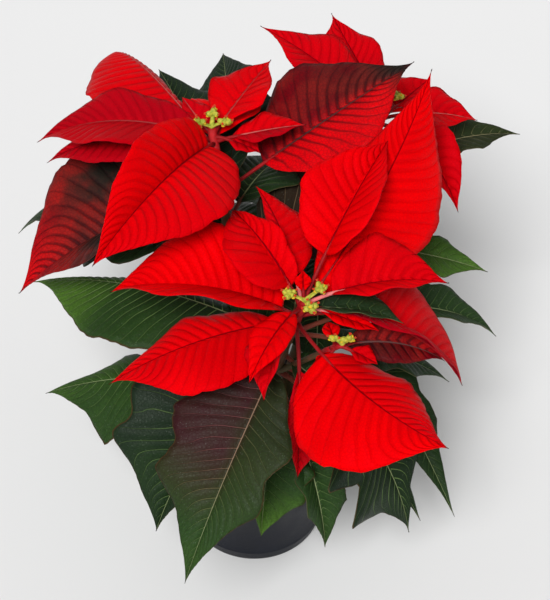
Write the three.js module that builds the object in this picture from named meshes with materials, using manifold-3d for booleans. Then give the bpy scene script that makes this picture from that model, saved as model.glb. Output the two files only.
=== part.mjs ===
// Poinsettia in a 13 cm nursery pot. Millimetres, +Z up.
// Origin: centre of the pot's flat underside. The front of the plant faces -Y.
//
// Three rooted cuttings stand in plain holes in the soil. Each is a leafy stem that ends in a
// hub of red bracts with a cluster of cyathia, the small yellow-green true flowers, on top.
// The front stem also carries a side shoot with a small bloom of its own.

import * as THREE from 'three';
import { mergeVertices } from 'three/addons/utils/BufferGeometryUtils.js';
import Module from 'manifold-3d';

const wasm = await Module();
wasm.setup();

// ---------------------------------------------------------------- driving dimensions

const GAP = 0.3;                      // clearance between pieces that touch
const HOLE_GAP = 0.5;                 // clearance round a stem in its hole in the soil
const FUSE_TOLERANCE = 0.08;          // how far fusing may move a surface to drop needless triangles

const POT = {
  height: 105, baseRadius: 47.5, mouthRadius: 62.5, wall: 1.6, floor: 2.4, sides: 32,
  rimHeight: 13, rimStep: 2.2,        // the rim is a band that stands out from the wall
  edgeRound: 2,                       // bevel round the bottom edge
  rimEdge: 1,                         // bevel at the top and foot of that band
  drainHoles: 6, drainRadius: 4.5, drainRing: 33, drainSides: 12,
};
const SOIL = { top: 94, mound: 2, lump: 0.8, lumpSpan: 6, rings: 4, holeDepth: 58 };

// A stem rises from its foot on the soil to the top that carries its bloom.
// lean is the power of its sideways curve: 1 is straight, 2 stays upright for longer.
// turning and bracts are the heights where those parts of the stem begin.
const STEMS = {
  front: { foot: [8, -14, 96], top: [34, -38, 256], lean: 1.6, bracts: 229, radius: [4.6, 2.7] },
  left: { foot: [-6, 12, 96], top: [-27, 83, 298], lean: 2, turning: 252, bracts: 269, radius: [4.6, 2.6] },
  right: { foot: [20, 16, 96], top: [93, 137, 276], lean: 1.3, bracts: 249, radius: [4.6, 2.6] },
  side: { foot: [19, -25, 178], top: [58, -49, 228], lean: 1, turning: 213, bracts: 221, radius: [2.8, 2.2] },
};
const STEM_SIDES = 8;
const STEM_STEP = 20;                 // height between the rings of a stem

// Outlines of a blade: where it is widest, how round it is at the stalk and how drawn out at the tip.
const OVATE = { spread: 0.8, baseRound: 0.75, tipTaper: 1.7 };
const BROAD = { spread: 0.78, baseRound: 0.6, tipTaper: 1.45 };
const TAPERED = { spread: 0.8, baseRound: 0.75, tipTaper: 1.9 };
const SLIM = { spread: 0.85, baseRound: 0.9, tipTaper: 1.6 };
const LEAF = { spread: 0.72, baseRound: 0.7, tipTaper: 1.5 };

const BLADE = {
  rows: [0, 0.14, 0.3, 0.44, 0.58, 0.72, 0.87, 1],   // stations from stalk to tip
  short: 45, shortRows: [0, 0.25, 0.5, 0.8, 1],
  wide: 82, wideColumns: [-1, -0.5, 0, 0.5, 1], columns: [-1, 0, 1],
  thickness: 0.8, fold: 12,           // degrees that each half usually lifts from the midrib
  wave: 2.5, waves: 2.5, waveShift: 1.2,   // height, count and left-to-right shift of edge waves
  fullWave: 50,                       // a narrower blade has lower waves in proportion
  lobes: [0.3, 0.58], lobeReach: 0.12,     // the pointed lobes of a green leaf
  baseHalfWidth: 1.3, curveSteps: 24,
};
const STALK = { sides: 5, steps: 3, overlap: 2, bractRadius: 1.3, leafRadius: 1.6 };

// A cluster has arms that fork from its foot and end in a fan of bud-like cyathia.
const CLUSTER = {
  foot: 2.4, footHeight: 2, armRadius: 1.2, sides: 4,
  budRadius: 2, budLength: 5.4, budFoot: 0.5, budMouth: 0.6,   // foot and mouth as shares of the radius
  budSink: 1, uprightTilt: 8, spreadTilt: 62,                    // degrees from upright
};

// ---------------------------------------------------------------- the blades

// One leaf or bract: outline, height on its stem, heading in degrees from +X, rise and fall
// (its slope in degrees at the stem and at the tip), then stalk, length and width in mm.
// roll tilts it about its midrib, skew widens its left half, bend turns its heading along it,
// lobe is how far its pointed lobes stand out, and a fold below zero lets both halves droop.
function blade(form, height, heading, rise, fall, stalk, length, width, more = {}) {
  const plain = { roll: 0, skew: 0, bend: 0, lobe: 0, fold: BLADE.fold };
  return { ...plain, form, height, heading, rise, fall, stalk, length, width, ...more };
}

const FRONT_BRACTS = [
  blade(SLIM, 254, 94, 20, 100, 8, 15, 11),
  blade(SLIM, 252, 346, -10, -15, 12, 40, 16, { skew: -0.05, fold: 10 }),
  blade(OVATE, 251, 13, 25, -10, 20, 76, 52, { roll: 5, skew: 0.25, bend: -16, fold: 25 }),
  blade(OVATE, 249, 102, 40, 0, 21, 74, 28, { roll: 10, skew: -0.5, bend: 16, fold: -5 }),
  blade(SLIM, 248, 241, 30, -40, 12, 62, 26),
  blade(BROAD, 247, 131, 55, -10, 16, 70, 46, { skew: 0.5, bend: -8, fold: 25 }),
  blade(OVATE, 247, 349, 20, -20, 10, 58, 28, { roll: -5, skew: 0.4, fold: 15 }),
  blade(BROAD, 246, 55, 50, 15, 38, 89, 64, { skew: 0.1, bend: 4, fold: 35 }),
  blade(OVATE, 242, 245, 15, -55, 16, 53, 36, { roll: 30, skew: -0.15, bend: 6, fold: 30 }),
  blade(OVATE, 240, 39, 40, 25, 20, 166, 80, { roll: 25, skew: -0.3, bend: 32, fold: -30 }),
  blade(OVATE, 239, 359, 15, -70, 20, 116, 60, { roll: -10, skew: 0.45, bend: -8, fold: 15 }),
  blade(OVATE, 238, 176, 35, -30, 11, 119, 84, { bend: -8, fold: 35 }),
  blade(OVATE, 234, 278, -45, -80, 34, 79, 30, { roll: -10, skew: 0.3, bend: -16, fold: 30 }),
  blade(OVATE, 233, 197, 10, -35, 13, 118, 68, { skew: 0.2, bend: -6, fold: -10 }),
  blade(BROAD, 233, 298, -5, 0, 32, 108, 94, { roll: 5, skew: -0.15, bend: 28, fold: -25 }),
];
const LEFT_BRACTS = [
  blade(OVATE, 294, 59, 15, 5, 11, 65, 46, { roll: -10, skew: 0.05 }),
  blade(OVATE, 293, 343, 5, -25, 11, 23, 24, { roll: 5, skew: 0.25 }),
  blade(SLIM, 292, 126, 15, 20, 5, 34, 22),
  blade(OVATE, 290, 165, 20, -40, 12, 121, 60, { skew: 0.3, bend: 6, fold: 20 }),
  blade(OVATE, 290, 1, 20, 10, 15, 48, 28, { bend: -4 }),
  blade(BROAD, 289, 246, 30, -30, 9, 137, 80, { roll: -30, skew: 0.2, bend: -16, fold: 25 }),
  blade(OVATE, 286, 80, 25, -55, 12, 62, 50, { roll: -5 }),
  blade(OVATE, 285, 132, 30, -45, 18, 148, 68, { roll: 10, skew: 0.45, bend: -24, fold: -30 }),
  blade(OVATE, 277, 173, 35, -45, 29, 99, 32, { roll: -15, skew: 0.3, fold: 10 }),
];
const RIGHT_BRACTS = [
  blade(TAPERED, 273, 115, 10, 20, 14, 75, 52, { skew: 0.3 }),
  blade(TAPERED, 268, 149, 35, 10, 14, 93, 48),
  blade(OVATE, 267, 353, 25, -15, 14, 54, 44),
  blade(OVATE, 267, 44, 10, 10, 16, 34, 34, { roll: 5 }),
  blade(OVATE, 264, 307, 35, -55, 22, 79, 36, { roll: 15, skew: 0.3, bend: -4, fold: 35 }),
  blade(OVATE, 264, 60, 10, -60, 14, 70, 56),
  blade(OVATE, 261, 190, 20, -45, 14, 58, 50),
  blade(OVATE, 260, 115, 0, -60, 14, 76, 60),
];
const SIDE_BRACTS = [
  blade(SLIM, 226, 334, -5, -15, 8, 20, 16, { fold: 15 }),
  blade(SLIM, 223, 105, 30, -10, 5, 16, 12),
  blade(SLIM, 223, 233, -15, -15, 5, 17, 12, { roll: 5 }),
];
const LEFT_TURNING_LEAVES = [
  blade(OVATE, 261, 27, 25, 20, 34, 122, 92, { roll: 5, skew: 0.05, fold: 5 }),
  blade(OVATE, 260, 186, -5, -40, 20, 138, 108, { skew: -0.15, bend: 16, fold: 25 }),
];
const SIDE_TURNING_LEAVES = [
  blade(OVATE, 217, 8, 20, -40, 14, 68, 32, { roll: 25, bend: -12, fold: 15 }),
];
const FRONT_LEAVES = [
  blade(LEAF, 222, 84, 0, -20, 14, 92, 64, { lobe: 0.3 }),
  blade(LEAF, 221, 152, -5, -35, 12, 70, 54, { roll: 10, skew: -0.15, lobe: 0.3, fold: 15 }),
  blade(LEAF, 218, 15, -20, -50, 28, 115, 36, { roll: 5, skew: -0.1, bend: 2, lobe: 0.3, fold: 5 }),
  blade(LEAF, 216, 21, 15, -55, 44, 130, 36, { roll: 15, bend: -2, lobe: 0.3, fold: 30 }),
  blade(LEAF, 216, 246, -15, -60, 28, 152, 80, { roll: -5, skew: -0.15, bend: -12, lobe: 0.3, fold: 10 }),
  blade(OVATE, 209, 151, 10, -30, 28, 181, 84, { roll: 10, skew: 0.3, bend: 4, fold: -20 }),
  blade(LEAF, 194, 337, -30, -35, 8, 48, 44, { lobe: 0.3 }),
  blade(LEAF, 192, 212, -20, -60, 37, 113, 92, { roll: -10, skew: -0.3, bend: 20, lobe: 0.25, fold: 35 }),
  blade(OVATE, 182, 342, -15, -75, 39, 121, 82, { roll: -10, skew: -0.5, bend: -36, lobe: 0.6, fold: 15 }),
  blade(LEAF, 175, 337, -25, -65, 34, 123, 34, { roll: 5, lobe: 0.3 }),
  blade(LEAF, 168, 298, -25, -85, 39, 95, 40, { skew: 0.05, lobe: 0.3, fold: 35 }),
  blade(LEAF, 166, 266, -25, -80, 36, 80, 48, { roll: -15, skew: 0.35, bend: -10, lobe: 0.3, fold: 30 }),
  blade(LEAF, 157, 176, 10, -35, 36, 134, 80, { roll: -5, skew: 0.25, bend: -10, lobe: 0.35, fold: -15 }),
];
const LEFT_LEAVES = [
  blade(LEAF, 244, 89, 20, -15, 32, 145, 76, { roll: -30, bend: 6, lobe: 0.3 }),
  blade(LEAF, 243, 110, 25, -10, 30, 124, 60, { lobe: 0.3 }),
  blade(LEAF, 243, 294, 15, -35, 16, 67, 56, { roll: 5, lobe: 0.3 }),
  blade(LEAF, 242, 67, 15, -40, 20, 84, 64, { roll: -5, lobe: 0.3 }),
  blade(LEAF, 238, 15, 5, -20, 20, 90, 84, { roll: 5, lobe: 0.3 }),
  blade(LEAF, 229, 146, 5, -55, 34, 192, 60, { roll: -5, lobe: 0.3 }),
  blade(LEAF, 228, 158, -5, -45, 34, 116, 64, { lobe: 0.3 }),
  blade(LEAF, 223, 88, 10, -40, 12, 66, 56, { lobe: 0.3 }),
  blade(LEAF, 213, 120, 0, -50, 30, 100, 60, { lobe: 0.3 }),
  blade(LEAF, 188, 170, 0, -50, 30, 100, 60, { lobe: 0.3 }),
  blade(LEAF, 173, 75, -10, -50, 30, 90, 60, { lobe: 0.3 }),
];
const RIGHT_LEAVES = [
  blade(LEAF, 236, 80, 0, -50, 24, 96, 66, { lobe: 0.3 }),
  blade(LEAF, 233, 19, 30, -20, 34, 94, 44, { lobe: 0.3 }),
  blade(LEAF, 213, 135, 0, -50, 24, 90, 60, { lobe: 0.3 }),
  blade(LEAF, 198, 352, 10, -20, 34, 77, 44, { skew: -0.2, lobe: 0.3 }),
  blade(LEAF, 193, 20, 0, -50, 30, 90, 60, { lobe: 0.3 }),
  blade(LEAF, 179, 304, -15, -45, 34, 157, 40, { lobe: 0.3 }),
  blade(LEAF, 176, 268, 0, -30, 10, 62, 56, { roll: -5, lobe: 0.3 }),
];

// Arms of a cluster of cyathia: heading in degrees, reach and rise in mm, and the cyathia round its end.
const FRONT_ARMS = [[168, 10, 2, 5], [25, 11, 4, 4], [290, 10, 1, 4]];
const LEFT_ARMS = [[195, 9, 3, 4], [345, 9, 4, 4], [80, 6, 5, 3]];
const RIGHT_ARMS = [[150, 7, 4, 3], [350, 7, 3, 3]];
const SIDE_ARMS = [[170, 4, 1.5, 2], [0, 4, 1.5, 2]];

// ---------------------------------------------------------------- geometry helpers

const radians = THREE.MathUtils.degToRad;

// Joins coincident vertices and drops the triangles that this makes empty.
function weld(geometry) {
  for (const name of Object.keys(geometry.attributes)) {
    if (name !== 'position') geometry.deleteAttribute(name);
  }
  const merged = mergeVertices(geometry, 1e-4);
  const kept = [];
  const index = merged.index.array;
  for (let i = 0; i < index.length; i += 3) {
    const [a, b, c] = [index[i], index[i + 1], index[i + 2]];
    if (a !== b && b !== c && c !== a) kept.push(a, b, c);
  }
  merged.setIndex(kept);
  return merged;
}

function toSolid(geometry) {
  const welded = weld(geometry);
  return new wasm.Manifold(new wasm.Mesh({
    numProp: 3,
    vertProperties: new Float32Array(welded.attributes.position.array),
    triVerts: new Uint32Array(welded.index.array),
  }));
}

// Fuses overlapping solids into one body and fills any hollow that the joins seal in.
function fuse(solids) {
  const joined = solids.reduce((sum, next) => sum.add(next)).simplify(FUSE_TOLERANCE);
  return joined.decompose().reduce((best, body) => (body.volume() > best.volume() ? body : best));
}

function toGeometry(solid) {
  const { vertProperties, triVerts, numProp } = solid.getMesh();
  const geometry = new THREE.BufferGeometry();
  const positions = [];
  for (let i = 0; i < vertProperties.length; i += numProp) {
    positions.push(vertProperties[i], vertProperties[i + 1], vertProperties[i + 2]);
  }
  geometry.setAttribute('position', new THREE.Float32BufferAttribute(positions, 3));
  geometry.setIndex([...triVerts]);
  geometry.computeVertexNormals();
  return geometry;
}

function geometryFrom(points, triangles) {
  const geometry = new THREE.BufferGeometry().setFromPoints(points);
  geometry.setIndex(triangles);
  return geometry;
}

// A closed skin through rings of points, counter-clockwise as seen from the last ring's side.
function loft(rings) {
  const sides = rings[0].length;
  const points = rings.flat();
  const triangles = [];
  for (let r = 0; r + 1 < rings.length; r += 1) {
    for (let i = 0; i < sides; i += 1) {
      const a = r * sides + i;
      const b = r * sides + (i + 1) % sides;
      triangles.push(a, b, b + sides, a, b + sides, a + sides);
    }
  }
  const last = (rings.length - 1) * sides;
  for (let i = 1; i + 1 < sides; i += 1) {
    triangles.push(0, i + 1, i);
    triangles.push(last, last + i, last + i + 1);
  }
  return geometryFrom(points, triangles);
}

function ring(centre, across, up, radius, sides) {
  const points = [];
  for (let i = 0; i < sides; i += 1) {
    const angle = (2 * Math.PI * i) / sides;
    points.push(centre.clone()
      .addScaledVector(across, radius * Math.cos(angle))
      .addScaledVector(up, radius * Math.sin(angle)));
  }
  return points;
}

const X_AXIS = new THREE.Vector3(1, 0, 0);
const Y_AXIS = new THREE.Vector3(0, 1, 0);

// ---------------------------------------------------------------- stems

function stemPoint(stem, height) {
  const [footX, footY, footZ] = stem.foot;
  const [topX, topY, topZ] = stem.top;
  const share = Math.max(0, (height - footZ) / (topZ - footZ)) ** stem.lean;
  return new THREE.Vector3(footX + (topX - footX) * share, footY + (topY - footY) * share, height);
}

function stemRadius(stem, height) {
  const share = (height - stem.foot[2]) / (stem.top[2] - stem.foot[2]);
  return THREE.MathUtils.lerp(stem.radius[0], stem.radius[1], THREE.MathUtils.clamp(share, 0, 1));
}

// The stretch of a stem between two heights, with rings counted up from its foot.
function stemSolid(stem, from, to) {
  const heights = [from];
  for (let height = stem.foot[2]; height < to - STEM_STEP / 2; height += STEM_STEP) {
    if (height > from + STEM_STEP / 4) heights.push(height);
  }
  heights.push(to);
  return toSolid(loft(heights.map(
    (height) => ring(stemPoint(stem, height), X_AXIS, Y_AXIS, stemRadius(stem, height), STEM_SIDES),
  )));
}

// ---------------------------------------------------------------- blades and their stalks

// The frame of a blade at a share s of its whole way from the stem axis to the tip.
function direction(leaf, s) {
  const slope = radians(leaf.rise + (leaf.fall - leaf.rise) * s);
  const heading = radians(leaf.heading + leaf.bend * s);
  const forward = new THREE.Vector3(
    Math.cos(slope) * Math.cos(heading), Math.cos(slope) * Math.sin(heading), Math.sin(slope),
  );
  const left = new THREE.Vector3(-Math.sin(heading), Math.cos(heading), 0);
  const up = new THREE.Vector3().crossVectors(forward, left);
  return { forward, left, up };
}

// Returns a function that gives the midrib's point and frame at a distance from the stem axis.
function midrib(stem, leaf) {
  const reach = leaf.stalk + leaf.length;
  const step = reach / BLADE.curveSteps;
  const points = [stemPoint(stem, leaf.height)];
  for (let i = 0; i < BLADE.curveSteps; i += 1) {
    const { forward } = direction(leaf, (i + 0.5) / BLADE.curveSteps);
    points.push(points[i].clone().addScaledVector(forward, step));
  }
  const roll = radians(leaf.roll);
  return (distance) => {
    const place = Math.min(distance / step, BLADE.curveSteps - 1e-6);
    const i = Math.floor(place);
    const { left, up } = direction(leaf, distance / reach);
    return {
      point: points[i].clone().lerp(points[i + 1], place - i),
      left: left.clone().multiplyScalar(Math.cos(roll)).addScaledVector(up, Math.sin(roll)),
      up: up.clone().multiplyScalar(Math.cos(roll)).addScaledVector(left, -Math.sin(roll)),
    };
  };
}

function halfWidth(leaf, t) {
  const { spread, baseRound, tipTaper } = leaf.form;
  const round = Math.max(Math.sin(Math.PI * t ** spread), 0) ** (baseRound + (tipTaper - baseRound) * t);
  const lobes = BLADE.lobes.map((place) => 1 - Math.abs(t - place) / BLADE.lobeReach);
  const lobed = 1 - leaf.lobe / 2 + leaf.lobe * Math.max(0, ...lobes);
  return (leaf.width / 2) * round * (leaf.lobe > 0 ? lobed : 1);
}

// The blade's upper face at t along it and u across it, -1 at the right edge and 1 at the left.
function bladePoint(leaf, curve, t, u) {
  const { point, left, up } = curve(leaf.stalk + t * leaf.length);
  const half = halfWidth(leaf, t);
  const fold = radians(leaf.fold);
  const wavePhase = 2 * Math.PI * BLADE.waves * t + (u > 0 ? BLADE.waveShift : 0);
  const waveHeight = BLADE.wave * Math.min(1, leaf.width / BLADE.fullWave);
  const wave = waveHeight * (half / (leaf.width / 2)) * u * u * Math.sin(wavePhase);
  const width = t === 0 ? BLADE.baseHalfWidth : half * (1 + leaf.skew * Math.sign(u)) * Math.cos(fold);
  return {
    point: point.addScaledVector(left, u * width)
      .addScaledVector(up, Math.abs(u) * half * Math.sin(fold) + wave),
    up,
  };
}

// A thin closed blade: the same triangles on both faces, joined round the edge.
function bladeSolid(stem, leaf) {
  const curve = midrib(stem, leaf);
  const columns = leaf.width > BLADE.wide ? BLADE.wideColumns : BLADE.columns;
  const rows = leaf.length < BLADE.short ? BLADE.shortRows : BLADE.rows;
  const upper = [];
  const lower = [];
  for (const t of rows) {
    for (const u of columns) {
      const { point, up } = bladePoint(leaf, curve, t, u);
      upper.push(point.clone().addScaledVector(up, BLADE.thickness / 2));
      lower.push(point.clone().addScaledVector(up, -BLADE.thickness / 2));
    }
  }
  const triangles = [];
  const count = upper.length;
  const quad = (a, b, c, d) => triangles.push(a, b, c, a, c, d);
  const width = columns.length;
  for (let r = 0; r + 1 < rows.length; r += 1) {
    for (let c = 0; c + 1 < width; c += 1) {
      const a = r * width + c;
      const b = a + width;
      triangles.push(a, b, b + 1, a, b + 1, a + 1);
      triangles.push(count + a, count + b + 1, count + b, count + a, count + a + 1, count + b + 1);
    }
    const right = r * width;
    const left = right + width - 1;
    quad(right, count + right, count + right + width, right + width);
    quad(left, left + width, count + left + width, count + left);
  }
  for (let c = 0; c + 1 < width; c += 1) {
    const tip = (rows.length - 1) * width + c;
    quad(c, c + 1, count + c + 1, count + c);
    quad(tip, count + tip, count + tip + 1, tip + 1);
  }
  return toSolid(geometryFrom([...upper, ...lower], triangles));
}

function stalkSolid(stem, leaf) {
  const curve = midrib(stem, leaf);
  const radius = leaf.form === LEAF ? STALK.leafRadius : STALK.bractRadius;
  const root = stemRadius(stem, leaf.height) / 2;
  const end = leaf.stalk + STALK.overlap;
  const rings = [];
  for (let i = 0; i <= STALK.steps; i += 1) {
    const { point, left, up } = curve(THREE.MathUtils.lerp(root, end, i / STALK.steps));
    rings.push(ring(point, left, up, radius, STALK.sides));
  }
  return toSolid(loft(rings));
}

// The pieces of a stretch of stem and the blades that grow from it, ready to fuse.
function leafyStretch(stem, from, to, leaves) {
  const stalks = leaves.map((leaf) => stalkSolid(stem, leaf));
  const blades = leaves.map((leaf) => bladeSolid(stem, leaf));
  return [stemSolid(stem, from, to), ...stalks, ...blades];
}

// ---------------------------------------------------------------- cyathia

// A slim tube or bud: rings of the given radii, evenly spaced from one point to another.
function spindle(from, to, radii) {
  const forward = to.clone().sub(from).normalize();
  const across = new THREE.Vector3().crossVectors(forward, Y_AXIS).normalize();
  const up = new THREE.Vector3().crossVectors(forward, across);
  const rings = radii.map((radius, i) => {
    const centre = from.clone().lerp(to, i / (radii.length - 1));
    return ring(centre, across, up, radius, CLUSTER.sides);
  });
  return toSolid(loft(rings));
}

// One cyathium: a small cup with a nipped mouth.
function cyathium(base, tilt, heading) {
  const forward = new THREE.Vector3(
    Math.sin(tilt) * Math.cos(heading), Math.sin(tilt) * Math.sin(heading), Math.cos(tilt),
  );
  const tip = base.clone().addScaledVector(forward, CLUSTER.budLength);
  const { budRadius, budFoot, budMouth } = CLUSTER;
  return spindle(base, tip, [budRadius * budFoot, budRadius, budRadius * budMouth]);
}

// arms: heading in degrees, reach and rise in mm, and how many cyathia stand round its end.
function cyathiaCluster(stem, arms) {
  const foot = new THREE.Vector3(...stem.top);
  foot.z += GAP;
  const crown = foot.clone();
  crown.z += CLUSTER.footHeight;
  const solids = [spindle(foot, crown, [CLUSTER.foot, CLUSTER.foot])];
  for (const [heading, reach, rise, buds] of arms) {
    const angle = radians(heading);
    const end = crown.clone().add(new THREE.Vector3(reach * Math.cos(angle), reach * Math.sin(angle), rise));
    const root = crown.clone();
    root.z -= CLUSTER.footHeight / 2;
    solids.push(spindle(root, end, [CLUSTER.armRadius, CLUSTER.armRadius]));
    const seat = end.clone().setZ(end.z - CLUSTER.budSink);
    solids.push(cyathium(seat, radians(CLUSTER.uprightTilt), angle));
    for (let i = 0; i < buds; i += 1) {
      solids.push(cyathium(seat, radians(CLUSTER.spreadTilt), angle + (2 * Math.PI * i) / buds));
    }
  }
  return fuse(solids);
}

// ---------------------------------------------------------------- pot and soil

function potWallRadius(height) {
  return THREE.MathUtils.lerp(POT.baseRadius, POT.mouthRadius, height / POT.height);
}

function latheSolid(profile) {
  const geometry = new THREE.LatheGeometry(profile.map(([r, z]) => new THREE.Vector2(r, z)), POT.sides);
  return toSolid(geometry.rotateX(Math.PI / 2));
}

function potSolid() {
  const rimFoot = POT.height - POT.rimHeight;
  let pot = latheSolid([
    [0, 0],
    [POT.baseRadius - POT.edgeRound, 0],
    [potWallRadius(POT.edgeRound), POT.edgeRound],
    [potWallRadius(rimFoot), rimFoot],
    [potWallRadius(rimFoot) + POT.rimStep, rimFoot + POT.rimEdge],
    [potWallRadius(POT.height) + POT.rimStep, POT.height - POT.rimEdge],
    [potWallRadius(POT.height) + POT.rimStep - POT.rimEdge, POT.height],
    [potWallRadius(POT.height) - POT.wall, POT.height],
    [potWallRadius(POT.floor) - POT.wall, POT.floor],
    [0, POT.floor],
  ]);
  for (let i = 0; i < POT.drainHoles; i += 1) {
    const angle = (2 * Math.PI * (i + 0.5)) / POT.drainHoles;
    const hole = new THREE.CylinderGeometry(
      POT.drainRadius, POT.drainRadius, 3 * POT.floor, POT.drainSides,
    );
    hole.rotateX(Math.PI / 2);
    hole.translate(POT.drainRing * Math.cos(angle), POT.drainRing * Math.sin(angle), POT.floor / 2);
    pot = pot.subtract(toSolid(hole));
  }
  return pot;
}

function soilHeight(x, y, edge) {
  const mound = SOIL.mound * (1 - (x * x + y * y) / (edge * edge));
  const lumps = SOIL.lump * Math.sin(x / SOIL.lumpSpan) * Math.cos(y / SOIL.lumpSpan);
  return SOIL.top + mound + lumps;
}

function soilSolid() {
  const bottom = POT.floor + GAP;
  const edge = potWallRadius(SOIL.top) - POT.wall - 2 * GAP;
  const bottomEdge = potWallRadius(bottom) - POT.wall - 2 * GAP;
  const centre = new THREE.Vector3(0, 0, bottom);
  const rings = [ring(centre, X_AXIS, Y_AXIS, bottomEdge, POT.sides)];
  for (let r = SOIL.rings; r > 0; r -= 1) {
    const level = ring(centre, X_AXIS, Y_AXIS, edge * (r / SOIL.rings), POT.sides);
    const rim = r === SOIL.rings;
    level.forEach((point) => point.setZ(rim ? SOIL.top : soilHeight(point.x, point.y, edge)));
    rings.push(level);
  }
  let soil = toSolid(loft(rings));
  for (const { foot: [x, y], radius: [stemFoot] } of [STEMS.front, STEMS.left, STEMS.right]) {
    const ends = [SOIL.top - SOIL.holeDepth - GAP, POT.height];
    const hole = ends.map((height) => (
      ring(new THREE.Vector3(x, y, height), X_AXIS, Y_AXIS, stemFoot + HOLE_GAP, STEM_SIDES)
    ));
    soil = soil.subtract(toSolid(loft(hole)));
  }
  return soil;
}

// ---------------------------------------------------------------- the plant, node by node

const part = new THREE.Group();

function addNode(name, solid, color, roughness) {
  const material = new THREE.MeshStandardMaterial({ color, roughness, metalness: 0 });
  const mesh = new THREE.Mesh(toGeometry(solid), material);
  mesh.name = name;
  part.add(mesh);
}

const COLOURS = {
  pot: 0x2b2e33, soil: 0x3a2a1e, leaf: 0x2a4a2a, turning: 0x5a1c26, bract: 0xd01018, cyathia: 0xb8b83c,
};

const stemBottom = SOIL.top - SOIL.holeDepth;
const { front, left, right, side } = STEMS;

addNode('pot', potSolid(), COLOURS.pot, 0.5);
addNode('soil', soilSolid(), COLOURS.soil, 1);

addNode('leafy_stem_front', fuse([
  ...leafyStretch(front, stemBottom, front.bracts - GAP, FRONT_LEAVES),
  stemSolid(side, side.foot[2], side.turning - GAP),
]), COLOURS.leaf, 0.55);
addNode('leafy_stem_left', fuse(
  leafyStretch(left, stemBottom, left.turning - GAP, LEFT_LEAVES),
), COLOURS.leaf, 0.55);
addNode('leafy_stem_right', fuse(
  leafyStretch(right, stemBottom, right.bracts - GAP, RIGHT_LEAVES),
), COLOURS.leaf, 0.55);

addNode('turning_leaves_left', fuse(
  leafyStretch(left, left.turning, left.bracts - GAP, LEFT_TURNING_LEAVES),
), COLOURS.turning, 0.55);
addNode('turning_leaf_side', fuse(
  leafyStretch(side, side.turning, side.bracts - GAP, SIDE_TURNING_LEAVES),
), COLOURS.turning, 0.55);

addNode('bracts_front', fuse(
  leafyStretch(front, front.bracts, front.top[2], FRONT_BRACTS),
), COLOURS.bract, 0.5);
addNode('bracts_left', fuse(
  leafyStretch(left, left.bracts, left.top[2], LEFT_BRACTS),
), COLOURS.bract, 0.5);
addNode('bracts_right', fuse(
  leafyStretch(right, right.bracts, right.top[2], RIGHT_BRACTS),
), COLOURS.bract, 0.5);
addNode('bracts_side', fuse(
  leafyStretch(side, side.bracts, side.top[2], SIDE_BRACTS),
), COLOURS.bract, 0.5);

addNode('cyathia_front', cyathiaCluster(front, FRONT_ARMS), COLOURS.cyathia, 0.5);
addNode('cyathia_left', cyathiaCluster(left, LEFT_ARMS), COLOURS.cyathia, 0.5);
addNode('cyathia_right', cyathiaCluster(right, RIGHT_ARMS), COLOURS.cyathia, 0.5);
addNode('cyathia_side', cyathiaCluster(side, SIDE_ARMS), COLOURS.cyathia, 0.5);

export default part;
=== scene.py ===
# %% [markdown]
# # A potted poinsettia
# A poinsettia is a small shrub. Its big red "petals" are bracts, which are coloured leaves, and its
# true flowers are the small yellow-green cyathia in the middle of them. This lesson dresses a plain
# frame of the plant, loaded first, with finely cut and veined blades on the same curves.
# The frame fixes every size.

# %% Load the frame
import math
import random
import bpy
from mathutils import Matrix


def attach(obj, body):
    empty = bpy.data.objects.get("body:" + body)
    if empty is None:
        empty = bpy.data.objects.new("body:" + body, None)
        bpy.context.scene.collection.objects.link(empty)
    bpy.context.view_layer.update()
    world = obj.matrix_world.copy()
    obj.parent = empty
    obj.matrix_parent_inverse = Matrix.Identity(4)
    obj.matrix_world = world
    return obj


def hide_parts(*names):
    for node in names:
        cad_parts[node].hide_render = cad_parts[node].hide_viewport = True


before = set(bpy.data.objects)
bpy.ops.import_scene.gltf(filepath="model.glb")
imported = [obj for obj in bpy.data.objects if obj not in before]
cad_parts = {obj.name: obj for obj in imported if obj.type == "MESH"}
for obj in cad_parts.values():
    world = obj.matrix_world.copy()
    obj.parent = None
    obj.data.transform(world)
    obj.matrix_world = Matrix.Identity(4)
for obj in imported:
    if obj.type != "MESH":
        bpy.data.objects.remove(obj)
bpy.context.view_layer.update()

from types import SimpleNamespace

import bmesh
import bpy
from mathutils import Matrix, Vector, noise

MM = 0.001  # the plant is described in millimetres
scene = bpy.context.scene

# %% [markdown]
# ## Camera
# A plant like this is usually seen from above, at arm's length or more. A long lens from a distance
# keeps the near and far blooms at nearly the same scale. The camera is placed from the point that it
# looks at, because that point, a distance and an angle are easier to think about than a location.

# %% Camera
CAMERA_TARGET = Vector((15, 22, 197)) * MM
CAMERA_DISTANCE = 1.3
CAMERA_ELEVATION = math.radians(45)
CAMERA_LENS = 115

camera = bpy.data.objects.new("camera", bpy.data.cameras.new("camera"))
camera.data.lens = CAMERA_LENS
back = Vector((0, -math.cos(CAMERA_ELEVATION), math.sin(CAMERA_ELEVATION)))
camera.location = CAMERA_TARGET + back * CAMERA_DISTANCE
camera.rotation_euler = (math.pi / 2 - CAMERA_ELEVATION, 0, 0)
scene.collection.objects.link(camera)
scene.camera = camera
print("camera at", [round(c, 3) for c in camera.location])

# %% [markdown]
# ## Light
# Strong reds lose their strength in a film-like view transform, so the standard one is used here.
# A broad sun from just above the camera is the key: it lights the floor evenly, and its angle makes
# the soft edge of each shadow. Light from beside the plant would show more relief, but also throw
# long shadows. A weak lamp from behind rims the blades, and a pale world fills the gaps.

# %% Light
SUN_FROM = Vector((-0.22, -0.8, 1))  # from the plant towards the sun
SUN_ANGLE = math.radians(24)
SUN_STRENGTH = 3.05
RIM_PLACE = Vector((0.3, 1.5, 1.2))
RIM_SIZE = 1
RIM_POWER = 1.5
WORLD_STRENGTH = 0.3


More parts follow.
